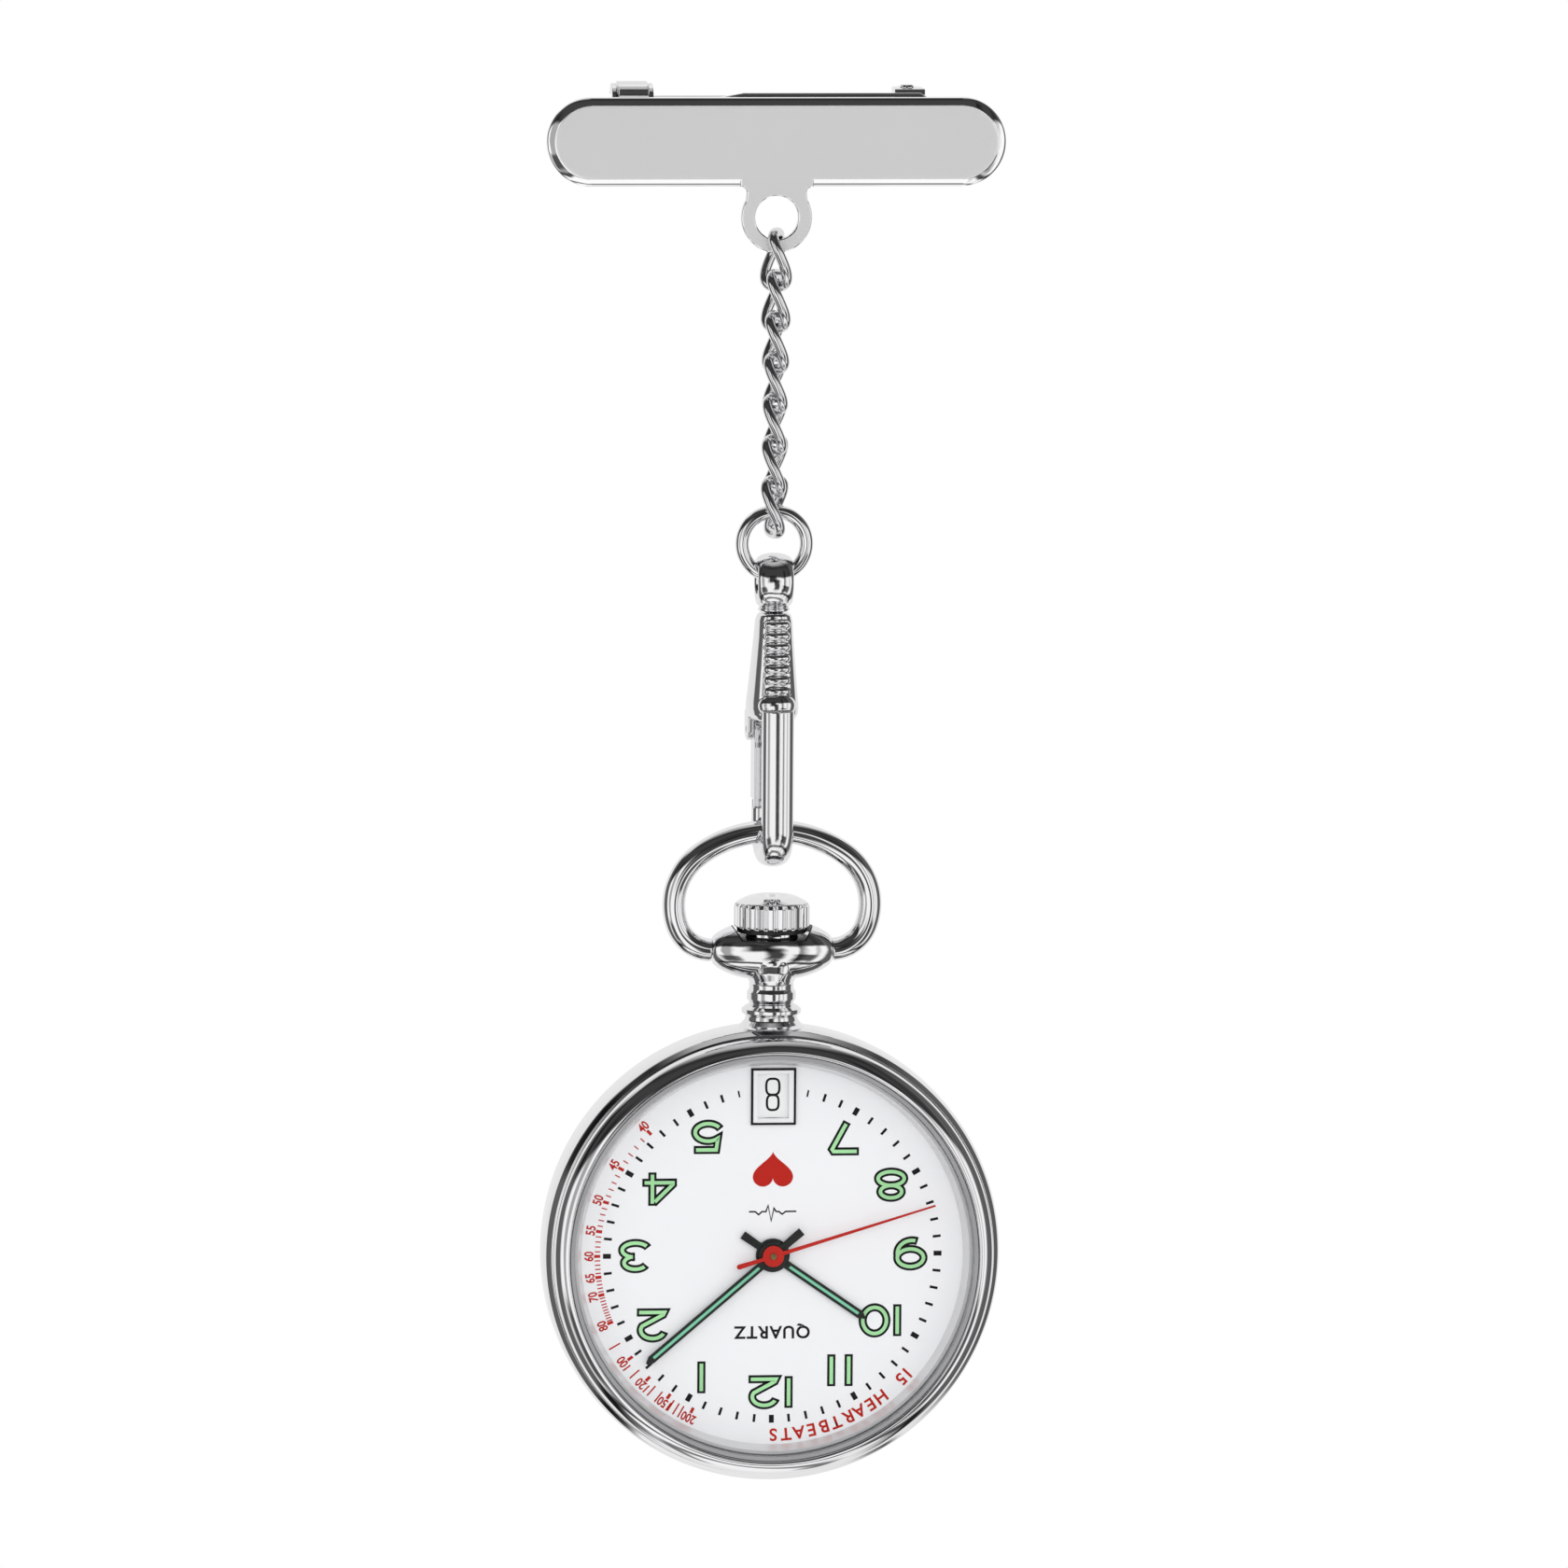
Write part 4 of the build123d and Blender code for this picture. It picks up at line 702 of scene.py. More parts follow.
rad = np.insert(np.insert(rad, 1, 0.74), -1, 0.74)
piece("bow_wire", tube(P, rad, 48), CHROME, "bow", ["bow"], weighted=False, angle=50)
for nm, x0, x1 in (("l", -4.75, -3.2), ("r", 3.2, 4.75)):
    pp = rp([(0, x0), (.35, x0, .08), (.35, x1, .08), (0, x1)])
    o = piece(f"bow_pin_{nm}", lathe(pp, 40, lambda r, x, f: (x, Y0 + r * math.cos(f), PIV + r * math.sin(f))), STEEL, "bow",
              ["bow_pins"])

# ================================================================ pendant ===
SPX = [-3.90 + 7.80 * k / 60 for k in range(61)]
def spindle_mesh():
    return lathe([(0, -3.90), (.74, -3.90)] + [(2.02 * math.sqrt(1 - (x / 4.32) ** 2) * (1 - .04 * (abs(x) > 3.86)), x) for x in SPX] +
                [(.74, 3.90), (0, 3.90)], 128, lambda r, x, f: (x, Y0 + r * math.cos(f), PIV + r * math.sin(f)))


taper = lathe(rp([(0, -55.2), (1.9, -55.2), (2.02, -55.9, .5), (1.80, -56.55, .6), (1.52, -57.10, .5), (1.34, -57.55, .1), (0, -57.55)]), 96, pV)
post = lathe([(0, -52.80), (1.13, -52.80), (1.13, -53.99), (1.62, -53.99), (1.66, -54.3), (1.66, -54.6), (0, -54.6)], 96, pV)
seat = lathe([(0, -50), (2.66, -50), (2.66, -53.9), (2.50, -54.34), (1.69, -54.34), (1.69, -53.98), (1.16, -53.98), (1.16, -50)], 96, pV)
bore = lathe([(0, -50), (.5, -50), (.5, -63), (0, -63)], 48, pV)
side_bores = [lathe([(0, a), (.39, a), (.39, b), (0, b)], 40, lambda r, x, f: (x, Y0 + r * math.cos(f), PIV + r * math.sin(f)))
              for a, b in ((-4.2, -3.1), (3.1, 4.2))]
seat = lathe([(1.70, -50), (2.64, -50), (2.64, -53.9), (2.52, -54.34), (1.70, -54.34)], 128, pV)
top_cut = lathe([(0, -50), (1.9, -50), (1.9, -53.99), (0, -53.99)], 96, pV)
headm = cut(remeshed(joined([spindle_mesh(), taper]), 0.045, 8), [seat, top_cut, bore] + side_bores)
headm = joined([headm, lathe([(.5, -52.80), (1.13, -52.80), (1.13, -54.2), (.5, -54.2)], 96, pV)])
# Painted shade: a near-black liner inside the crown seat, with the seat's floor and post collar, stands in for the
# shadow under the crown.
shade_liner = cut(spindle_mesh(), [lathe([(2.585, -50), (2.66, -50), (2.66, -54.40), (2.585, -54.40)], 128, pV)], "INTERSECT")
shade_liner = cut(shade_liner, [lathe([(0, -54.45), (5, -54.45), (5, -57), (0, -57)], 32, pV)])
shade = lathe([(1.14, -53.985), (1.66, -53.985), (1.72, -54.30), (2.60, -54.30), (2.60, -54.37), (1.14, -54.37)], 128, pV)
piece("crown_seat_painted_shade", joined([shade_liner, shade]), SHADE_BLACK, "head", angle=40)
piece("pendant_head", headm, CHROME, "head", ["pendant"], weighted=False, angle=44)
neckp = rp([(.5, -57.30), (1.46, -57.30, .1), (1.44, -57.66, .08), (1.60, -57.90, .10), (1.60, -58.35, .12), (1.42, -58.60, .05),
            (1.44, -58.66, .05), (1.70, -58.80, .10), (1.94, -59.0, .08), (1.94, -59.25, .08), (1.68, -59.44, .05),
            (1.74, -59.72, .2), (1.98, -60.0, .2), (2.33, -60.22, .02), (1.28, -60.22), (1.28, -61.40), (.5, -61.40)])
piece("pendant_neck", lathe(neckp, 160, pV), CHROME, "head", ["pendant"])

# ------------------------------------------------------------------ crown ---
NF, SUB = 24, 16
n = NF * SUB
prof = rp([(0, -51.84), (.72, -51.82, .2), (1.02, -51.62, .1), (1.28, -51.56, .12), (1.62, -51.64, .4), (2.28, -51.98, .3),
           (2.45, -52.24, .10), (2.45, -53.56, .08), (2.32, -53.66, .03), (1.72, -53.66), (1.72, -52.72), (.44, -52.72),
           (.44, -52.40), (0, -52.40)])
# extra rows along the rim, so that each flute's ends are shaped
dense = []
for a, b in zip(prof, prof[1:] + prof[:1]):
    dense.append(a)
    L = math.dist(a, b)
    if a[0] > 2.0 and b[0] > 2.0 and L > 0.3:
        m = int(L / 0.08)
        dense += [(a[0] + (b[0] - a[0]) * k / m, a[1] + (b[1] - a[1]) * k / m) for k in range(1, m)]


def crown_point(r, zz, f):
    if r > 2.2 and -53.64 < zz < -51.98:
        k = (f / (2 * pi) * NF + 0.5) % 1 - 0.5          # -0.5..0.5 across one flute
        x = k * 2 * pi * 2.45 / NF
        h = 0.20
        dep = math.sqrt(max(0, h * h - x * x)) * 0.85
        ends = min(1.0, max(0.0, (zz + 53.62) / 0.10)) * min(1.0, max(0.0, (-52.02 - zz) / 0.26))
        r -= dep * math.sqrt(max(0.0, ends))
    return pV(r, zz, f)


piece("crown_knob", lathe(dense, n, crown_point), CHROME, "crown_knob", ["crown"], weighted=False, angle=48)

# Painted shade: the crown's lower ring in near-black stands in for the dark gap under the crown.
shade_skirt = lathe([(1.72, -53.66), (2.29, -53.66), (2.27, -53.94), (1.74, -53.94)], 128, pV)
piece("crown_skirt_painted_shade", shade_skirt, SHADE_BLACK, "crown_knob", weighted=False)

# =================================================================== case ===
N = 320
case = rp([(12.75, -2.10), (13.40, -2.10), (13.40, -2.46), (13.90, -2.46), (13.90, -2.12), (14.50, -2.12, .06), (14.84, -1.74, .5),
           (14.95, -1.20, .8), (14.99, -.5, 1.2), (14.99, .8, 1.2), (14.94, 1.4, .8), (14.80, 1.95, .6), (14.50, 2.38, .1),
           (13.52, 2.38), (13.52, 2.0), (13.08, 2.0), (13.08, 2.38), (12.75, 2.38)])
case_m = lathe(case, N, pW)
cbore = lathe([(0, -59), (1.30, -59), (1.30, -61.45), (.62, -61.45), (.62, -63), (0, -63)], 64, pV)
case_m = cut(case_m, [cbore])
piece("case_band", case_m, CHROME, "head", ["case_middle"], angle=30)
bez = [(13.05, -2.12), (13.37, -2.12), (13.37, -2.50), (13.93, -2.50), (13.93, -2.12), (14.38, -2.12)]
slope = [(90, 14.42, -2.50), (80, 14.405, -2.74), (66, 14.35, -2.95), (52, 14.25, -3.12), (42, 14.10, -3.28), (34, 13.94, -3.41),
         (27, 13.80, -3.495), (19, 13.68, -3.55), (10, 13.58, -3.58), (0, 13.51, -3.59)]
t_in = np.linspace(0, 1, len(slope))
arc = []
for t in np.linspace(0, 1, 34):
    arc.append((float(np.interp(t, t_in, [q[1] for q in slope])), float(np.interp(t, t_in, [q[2] for q in slope]))))
for _ in range(3):
    arc = [arc[0]] + [((a0 + 2 * b0 + c0) / 4, (a1 + 2 * b1 + c1) / 4) for (a0, a1), (b0, b1), (c0, c1) in zip(arc, arc[1:], arc[2:])] + [arc[-1]]
bez += [(14.42, -2.20)] + arc + [(13.46, -3.575), (13.415, -3.53), (13.385, -3.47), (13.37, -3.38), (13.37, -2.71), (13.05, -2.71)]
piece("bezel_rim", lathe(bez, N, pW), CHROME, "head", ["bezel"], angle=38)
piece("crystal_seal", lathe([(13.10, -2.74), (13.35, -2.74), (13.35, -3.46), (13.10, -3.46)], N, pW), SEAL_GREY, "head",
      ["crystal_gasket"])
dome = [(0, -4.05)] + [(r, -4.05 + 0.335 * (r / 12.8) ** 2) for r in np.linspace(0.8, 12.74, 26)] + \
       [(12.86, -3.68), (12.98, -3.58), (13.06, -3.46), (13.08, -3.36), (13.08, -2.74), (13.06, -2.72), (0, -2.72)]
piece("crystal_glass", lathe(dome, N, pW), GLASS, "head", ["crystal"], angle=20)
fl = rp([(12.50, -1.77, .03), (12.72, -1.77), (12.72, -2.13), (13.03, -2.13), (13.03, -2.70), (12.82, -2.70, .03)])
piece("flange", lathe(fl, N, pW), SATIN_RING, "head", ["flange_ring"])
back = rp([(0, 2.62), (12.2, 2.62), (12.2, 1.86), (12.72, 1.86), (12.72, 2.42), (14.46, 2.42, .04), (14.46, 2.68, .12), (13.9, 3.05, .4),
           (12.6, 3.40, .6), (11.6, 3.60, .25), (11.2, 3.60), (11.15, 3.56), (11.05, 3.56), (11.0, 3.60), (0, 3.60)])
piece("case_back", lathe(back, N, pW), SATIN, "head", ["caseback"])
tor = [(13.30 + .195 * math.cos(t), 2.205 + .195 * math.sin(t)) for t in np.linspace(0, 2 * pi, 20, endpoint=False)]
piece("back_seal", lathe(tor, N, pW), RUBBER, "head", ["caseback_gasket"])

# =================================================================== dial ===
TOP = 1.75        # height of the dial's face in front of the watch's mid-plane


def dial_at(u, v, h):
    """Dial as read (u right, v up, h towards the reader) to the row frame."""
    return (-u, Y0 - h, ZC - v)


def rect(w, h, cx=0.0, cy=0.0):
    return [(cx - w / 2, cy - h / 2), (cx + w / 2, cy - h / 2), (cx + w / 2, cy + h / 2), (cx - w / 2, cy + h / 2)]


disc = plate([circle(12.60, 360), circle(.90, 72), rect(2.05, 2.95, 0, -10.44)], 1.35, TOP, 0.012, dial_at, res=1)
feet = [lathe([(0, -1.36), (.16, -1.36), (.16, -.45), (0, -.45)], 24,
              lambda r, s, f, a=a, b=b: (a + r * math.cos(f), Y0 + s, ZC - b + r * math.sin(f))) for a, b in ((-11.52, 4.2), (11.52, -4.2))]
piece("dial_plate", joined([disc] + feet), LACQUER, "head", ["dial"])


def rot2(pts, deg):
    a = math.radians(deg)
    return [(x * math.cos(a) - y * math.sin(a), x * math.sin(a) + y * math.cos(a)) for x, y in pts]


def stroke(path, w, h0, h1):
    """Flat ribbon of width w along a 2-D path, with square ends, from height h0 to h1 above the dial."""
    P = np.array(path, float)
    closed = np.linalg.norm(P[0] - P[-1]) < 1e-6
    if closed:
        P = P[:-1]
    m = len(P)
    L, R = [], []
    for i in range(m):
        a = P[i - 1] if (closed or i > 0) else P[i] - (P[i + 1] - P[i])
        b = P[(i + 1) % m] if (closed or i < m - 1) else P[i] + (P[i] - P[i - 1])
        d0, d1 = P[i] - a, b - P[i]
        d0, d1 = d0 / np.linalg.norm(d0), d1 / np.linalg.norm(d1)
        n0, n1 = np.array([-d0[1], d0[0]]), np.array([-d1[1], d1[0]])
        nn = n0 + n1
        nn /= np.linalg.norm(nn)
        k = w / 2 / max(0.45, float(nn @ n1))
        L.append(P[i] + nn * k)
        R.append(P[i] - nn * k)
    verts = [(*p, h0) for p in L] + [(*p, h0) for p in R] + [(*p, h1) for p in L] + [(*p, h1) for p in R]
    faces = []
    for i in range(m if closed else m - 1):
        j = (i + 1) % m
        faces += [(i, j, m + j, m + i), (2 * m + i, 3 * m + i, 3 * m + j, 2 * m + j), (i, 2 * m + i, 2 * m + j, j),
                  (m + i, m + j, 3 * m + j, 3 * m + i)]
    if not closed:
        faces += [(0, m, 3 * m, 2 * m), (m - 1, 2 * m - 1 + 0, 3 * m - 1, 2 * m - 1)][:1]
        faces += [(m - 1, 3 * m - 1, 4 * m - 1, 2 * m - 1)]
    return verts, faces


def ell(cx, cy, rx, ry, a0, a1, n=28):
    return [(cx + rx * math.cos(math.radians(a)), cy + ry * math.sin(math.radians(a))) for a in np.linspace(a0, a1, n)]


H = 0.865
GLYPH = {
    "1": [[(0, -1.055), (0, 1.055)]],
    "2": [ell(0, .30, .80, .565, 168, -28) + [(-.70, -.70), (-.78, -H), (-.5, -H), (1.06, -H)]],
    "3": [ell(-.02, .445, .74, .42, 160, -88, 22), ell(-.02, -.395, .865, .47, 88, -162, 26)],
    "4": [[(.42, 1.10), (.42, -1.10)], [(.36, .95), (-.92, -.30), (-.92, -.42), (-.7, -.42), (1.08, -.42)]],
    "5": [[(.92, H), (-.55, H), (-.66, .10)] + ell(-.02, -.29, .86, .575, 132, -158, 26)],
    "7": [[(-1.08, H), (.62, H), (.72, .72), (-.28, -1.08)]],
    "8": [ell(0, .455, .70, .41, 0, 360, 40), ell(0, -.415, .86, .45, 0, 360, 44)],
    "9": [ell(0, .285, .86, .58, 0, 360, 44), ell(-.10, -.02, .96, .845, 18, -112, 26)],
    "0": [ell(0, 0, .78, H, 0, 360, 48)],
}
HEIGHT_STEP = 0.0016


def shorten(path, d):
    """Path with d cut off at both ends."""
    P = [np.array(p, float) for p in path]
    for _ in range(2):
        left = d
        while left > 0 and len(P) > 2:
            s = np.linalg.norm(P[1] - P[0])
            if s > left:
                P[0] = P[0] + (P[1] - P[0]) / s * left
                left = 0
            else:
                P = P[1:]
                left -= s
        if left > 0:
            s = np.linalg.norm(P[1] - P[0])
            P[0] = P[0] + (P[1] - P[0]) / s * left
        P = P[::-1]
    return [tuple(p) for p in P]


def collect(parts):
    verts, faces = [], []
    for v, f in parts:
        b = len(verts)
        verts += [dial_at(x, y, TOP + h) for x, y, h in v]
        faces += [tuple(b + i for i in q) for q in f]
    return raw(verts, faces)


black, green = [], []
sx = {"1": 1.0, "2": 0.98, "3": 1.0, "4": 1.0, "5": 1.0, "7": 0.98, "8": 1.0, "9": 1.0, "0": 1.0}


def numeral(ch, cx, cy, w=0.54):
    for k, path in enumerate(GLYPH[ch]):
        p = [(cx + x * sx[ch], cy + y) for x, y in path]
        closed = math.dist(p[0], p[-1]) < 1e-6
        black.append(stroke(p, w, 0.0, 0.014 + k * HEIGHT_STEP))
        inner = p if closed else shorten(p, 0.15)
        green.append(stroke(inner, w - 0.31, 0.005, 0.045 + k * HEIGHT_STEP))


def at(r, deg):
    a = math.radians(deg)
    return r * math.sin(a), r * math.cos(a)


for ch, r, deg in (("1", 9.28, 29.8), ("2", 9.07, 59.6), ("3", 9.0, 90), ("4", 8.67, 120.5), ("5", 8.91, 151.3), ("7", 8.9, 210.9),
                   ("8", 8.99, 239.6), ("9", 9.06, 270)):
    numeral(ch, *at(r, deg))
cx, cy = at(9.08, 0)
numeral("1", cx - 1.12, cy)
numeral("2", cx + .48, cy)
cx, cy = at(8.48, 301.3)
numeral("1", cx - .98, cy)
numeral("0", cx + .51, cy)
cx, cy = at(8.89, 329.7)
numeral("1", cx - .57, cy)
numeral("1", cx + .57, cy)

ticks = []


def tick(parts, r0, r1, w, deg, h=0.012):
    a = math.radians(deg)
    parts.append(stroke([(r0 * math.sin(a), r0 * math.cos(a)), (r1 * math.sin(a), r1 * math.cos(a))], w, 0.0, h))


for k in range(60):
    if 28 <= k <= 32:
        if k in (28, 32):
            tick(ticks, 10.62, 11.06, .11, 6 * k)
        continue
    tick(ticks, 10.58, 11.10, .32 if k % 5 == 0 else .17, 6 * k)
# small pulse line under the centre
pulse = [(-1.55, 0), (-.85, 0), (-.62, .18), (-.40, 0), (-.22, 0), (-.08, -.22), (.10, .62), (.30, -.40), (.44, 0), (.70, 0), (.92, .20),
         (1.15, 0), (1.55, 0)]
ticks.append(stroke([(x, y - 2.85) for x, y in pulse], .10, 0.0, 0.012))
piece("dial_ticks", collect(ticks), INK, "head", weighted=False)
piece("numerals_outline", collect(black), INK, "head", weighted=False)
piece("numerals_lume", collect(green), LUME, "head", weighted=False)

# red scale, 900 divided by the number of seconds, from 1 to 5 o'clock
red = []
LABEL = (200, 150, 120, 100, 80, 70, 65, 60, 55, 50, 45, 40)
for N_ in LABEL:
    tick(red, 11.28, 11.68, .20, 6 * 900 / N_)
for N_ in (180, 170, 160, 140, 130, 110, 90):
    tick(red, 11.48, 12.32, .10, 6 * 900 / N_)
for N_ in range(41, 80):
    if N_ not in LABEL and N_ != 90:
        tick(red, 11.28, 11.64, .078, 6 * 900 / N_)
heart = []
for k in range(60):
    t = 2 * pi * k / 60
    heart.append((16 * math.sin(t) ** 3 / 16 * 1.32, (13 * math.cos(t) - 5 * math.cos(2 * t) - 2 * math.cos(3 * t) - math.cos(4 * t)) / 16 * 1.28))
heart_m = plate([[(x, y - 5.45) for x, y in heart]], TOP + 0.0, TOP + 0.014, 0.002, dial_at, res=1)


def text_mesh(word, size, h, place, bold=0.0, spacing=1.0, xscale=1.0):
    cu = bpy.data.curves.new("t", "FONT")
    cu.body, cu.size, cu.align_x, cu.align_y = word, 1.0, "CENTER", "CENTER"
    cu.extrude, cu.offset, cu.space_character, cu.resolution_u = 0.5, bold, spacing, 6
    me = evaluated(link_new("t", cu))
    co = np.zeros(len(me.vertices) * 3)
    me.vertices.foreach_get("co", co)
    co = co.reshape(-1, 3)
    tall = co[:, 1].max() - co[:, 1].min()
    mid = (co[:, 1].max() + co[:, 1].min()) / 2
    midx = (co[:, 0].max() + co[:, 0].min()) / 2
    k = size / tall
    out = [place((x - midx) * k * xscale, (y - mid) * k, (z + .5) * h) for x, y, z in co]
    return raw(out, [list(p.vertices) for p in me.polygons], weld=1e-6)


def round_text(r, deg):
    """Places lettering at radius r with its top outwards."""
    a = math.radians(deg)

    def place(x, y, h):
        rr = r + y
        return dial_at(rr * math.sin(a) + x * math.cos(a), rr * math.cos(a) - x * math.sin(a), TOP + h)
    return place


words = []
for N_ in LABEL:
    words.append(text_mesh(str(N_), .62, .012, round_text(12.03, 6 * 900 / N_), bold=0.026, xscale=.80))
words.append(text_mesh("15", .84, .012, round_text(11.9, 313.3), bold=0.020))
for k, ch in enumerate("HEARTBEATS"):
    words.append(text_mesh(ch, .84, .012, round_text(11.9, 322.8 + 4.067 * k), bold=0.020))
piece("scale_print", joined([collect(red)] + words + [heart_m]), INK_RED, "head", weighted=False)
brand = text_mesh("QUARTZ", 1.0, .014, lambda x, y, h: dial_at(x, y + 5.05, TOP + h), bold=0.022, spacing=1.12, xscale=1.0)
piece("dial_word", brand, INK, "head", weighted=False)

# window: black line, then the bevelled white recess of the CAD frame
frame_line = plate([rect(2.94, 3.73, 0, -10.44), rect(2.66, 3.45, 0, -10.44)], TOP, TOP + .148, 0.004, dial_at, res=1)
piece("window_line", frame_line, INK, "head", weighted=False)
w0 = [rect(2.72, 3.51, 0, -10.44), rect(2.10, 3.00, 0, -10.44)]
verts, faces = [], []
lv = [(2.66, 3.45, TOP), (2.66, 3.45, TOP + .11), (2.58, 3.38, TOP + .125), (2.10, 3.00, TOP + .005), (2.10, 3.00, TOP)]
for w, h_, hh in lv:
    verts += [dial_at(x, y, hh) for x, y in rect(w, h_, 0, -10.44)]
for i in range(len(lv)):
    j = (i + 1) % len(lv)
    for k in range(4):
        q = (k + 1) % 4
        faces.append((4 * i + k, 4 * i + q, 4 * j + q, 4 * j + k))
piece("window_frame", raw(verts, faces), LACQUER, "head", ["date_window_frame"], weighted=False, angle=10)

# date disc with its 31 numbers: 8 shows in the window
inner = []
for k in range(31):
    c, h_ = 2 * pi * k / 31, pi / 31
    inner += [(9.40 * math.cos(c - .62 * h_), 9.40 * math.sin(c - .62 * h_)), (9.40 * math.cos(c + .62 * h_), 9.40 * math.sin(c + .62 * h_)),
              (8.98 * math.cos(c + .88 * h_), 8.98 * math.sin(c + .88 * h_)), (8.98 * math.cos(c + 1.12 * h_), 8.98 * math.sin(c + 1.12 * h_))]
dd = plate([circle(11.95, 360), inner], 1.12, 1.30, 0.008, lambda x, y, h: (x, Y0 - h, ZC - y), res=1)
web = plate([circle(11.95, 360), circle(8.99, 300)], 1.29, 1.33, 0.004, lambda x, y, h: (x, Y0 - h, ZC - y), res=1)
dd = joined([dd, web])
piece("date_ring", dd, DATE_W, "date", ["date_disc"], weighted=False)
def sup(cx, cy, rx, ry, p=3.0, n=44):
    out = []
    for k in range(n + 1):
        c, s = math.cos(2 * pi * k / n), math.sin(2 * pi * k / n)
        out.append((cx + rx * math.copysign(abs(c) ** (2 / p), c), cy + ry * math.copysign(abs(s) ** (2 / p), s)))
    out[-1] = out[0]
    return out


digit = {
    "0": [ell(0, 0, .42, .95, 0, 360, 40)],
    "1": [[(-.25, .62), (.05, .98), (.05, -.98)]],
    "2": [ell(0, .5, .42, .45, 165, -20, 18) + [(-.42, -.95), (.45, -.95)]],
    "3": [ell(-.02, .49, .40, .44, 160, -85, 18), ell(-.02, -.46, .44, .50, 85, -160, 20)],
    "4": [[(.22, .98), (-.46, -.35), (.48, -.35)], [(.22, .98), (.22, -.98)]],
    "5": [[(.40, .95), (-.34, .95), (-.38, .10)] + ell(0, -.35, .43, .60, 135, -155, 20)],
    "6": [ell(0, -.42, .42, .52, 0, 360, 34), ell(.10, -.10, .52, 1.04, 100, 190, 16)],
    "7": [[(-.44, .95), (.42, .95), (-.10, -.98)]],
    "8": [sup(0, .54, .38, .50), sup(0, -.52, .43, .54)],
    "9": [ell(0, .42, .42, .52, 0, 360, 34), ell(-.10, .10, .52, 1.04, 10, -80, 16)],
}
vv, ff = [], []
for day in range(1, 32):
    ang = 180 - (day - 8) * 360 / 31          # 8 stands at the window, at 6 o'clock
    a = math.radians(ang)
    txt = str(day)
    for i, ch in enumerate(txt):
        off = (i - (len(txt) - 1) / 2) * .92
        kx = 1.0 if len(txt) == 1 else .72
        for s_i, path in enumerate(digit[ch]):
            p = []
            for x, y in path:
                x, y = x * kx + off, y * .98
                # upright as read when it stands at 6 o'clock
                rr, tt = 10.50 - y, -x
                p.append((rr * math.sin(a) + tt * math.cos(a), rr * math.cos(a) - tt * math.sin(a)))
            v, f = stroke(p, .15, 0.0, .010 + s_i * HEIGHT_STEP)
            b = len(vv)
            vv += [dial_at(x, y, 1.328 + h) for x, y, h in v]
            ff += [tuple(b + q for q in g) for g in f]
piece("date_numbers", raw(vv, ff), INK, "date", weighted=False)

# ================================================================== hands ===
def hand_place(deg, s):
    a = math.radians(deg)

    def place(x, y, h):
        # x along the hand, y across; h towards the reader
        u, v = x * math.sin(a) + y * math.cos(a), x * math.cos(a) - y * math.sin(a)
        return dial_at(u, v, s + h)
    return place


def bar_hand(name, deg, s0, s1, tip, tail, boss, hole, body, node, stripe, lume_end):
    w = .28
    blade = [(0, -w), (tip - .42, -w), (tip, -.05), (tip, .05), (tip - .42, w), (0, w)]
    tailp = [(-tail, -.26), (0.1, -.24), (0.1, .24), (-tail, .26)]
    pl = hand_place(deg, 0)
    ang = math.asin(w / boss)
    loop = [(boss * math.cos(f), boss * math.sin(f)) for f in np.linspace(ang, pi - math.asin(.25 / boss), 40)]
    loop += [(-tail, .28), (-tail, -.28)]
    loop += [(boss * math.cos(f), boss * math.sin(f)) for f in np.linspace(pi + math.asin(.25 / boss), 2 * pi - ang, 40)]
    loop += [(tip - .40, -w), (tip, -.06), (tip, .06), (tip - .40, w)]
    me = plate([loop, circle(hole, 48)], s0, s1, 0.035, pl, res=3)
    piece(name, me, HAND, body, [node])
    v, f = stroke([(stripe, 0), (lume_end, 0)], .18, s1 - .02, s1 + .018)
    piece(name + "_lume", raw([pl(*q) for q in v], f), LUME_HAND, body, weighted=False)


bar_hand("hand_hour", 304.6, 1.92, 2.05, 7.4, 2.40, 1.11, .59, "hours", "hour_hand", 1.35, 6.85)
bar_hand("hand_minute", 49.5, 2.17, 2.30, 10.86, 2.46, .92, .39, "minutes", "minute_hand", 1.20, 10.25)
pl = hand_place(253.0, 0)
boss, tail = .70, 2.5
a1, a2 = math.asin(.13 / boss), math.asin(.115 / boss)
loop = [(boss * math.cos(f), boss * math.sin(f)) for f in np.linspace(a1, pi - a2, 40)]
loop += [(-tail + .17 + .17 * math.cos(f), .17 * math.sin(f)) for f in np.linspace(pi / 2, 3 * pi / 2, 14)]
loop += [(boss * math.cos(f), boss * math.sin(f)) for f in np.linspace(pi + a2, 2 * pi - a1, 40)]
loop += [(11.05, -.06), (11.1, -.03), (11.1, .03), (11.05, .06)]
piece("hand_second", plate([loop, circle(.20, 40)], 2.41, 2.52, 0.03, pl, res=3), HAND_RED, "seconds", ["second_hand"])
# gold tube of the second hand, with its dark centre
cap = rp([(0, -2.50), (.09, -2.50, .02), (.10, -2.615, .02), (.185, -2.615, .03), (.20, -2.56), (.20, -2.40), (0, -2.40)])
piece("second_tube", lathe(cap, 48, pW), BRASS, "seconds")

# =============================================================== movement ===
for names, mat in ((("setting_stem", "date_jumper", "setting_lever", "sliding_pinion", "bridge_screws", "battery_clamp", "stator"), STEEL),
                   (("mainplate", "train_bridge", "quartz_can", "battery"), NICKEL),
                   (("centre_wheel", "hour_wheel", "minute_wheel", "third_wheel", "second_wheel"), BRASS),
                   (("date_wheel", "intermediate_wheel", "movement_holder"), NYLON), (("circuit_board",), BOARD), (("coil",), COPPER),
                   (("rotor",), MAGNET), (("crown_gasket",), RUBBER)):
    for nm in names:
        o = frame["nodes"][nm]
        o.data.materials.clear()
        o.data.materials.append(mat)
        o.data.polygons.foreach_set("material_index", [0] * len(o.data.polygons))
        slots = frame["record"].get("material_slots") or {}

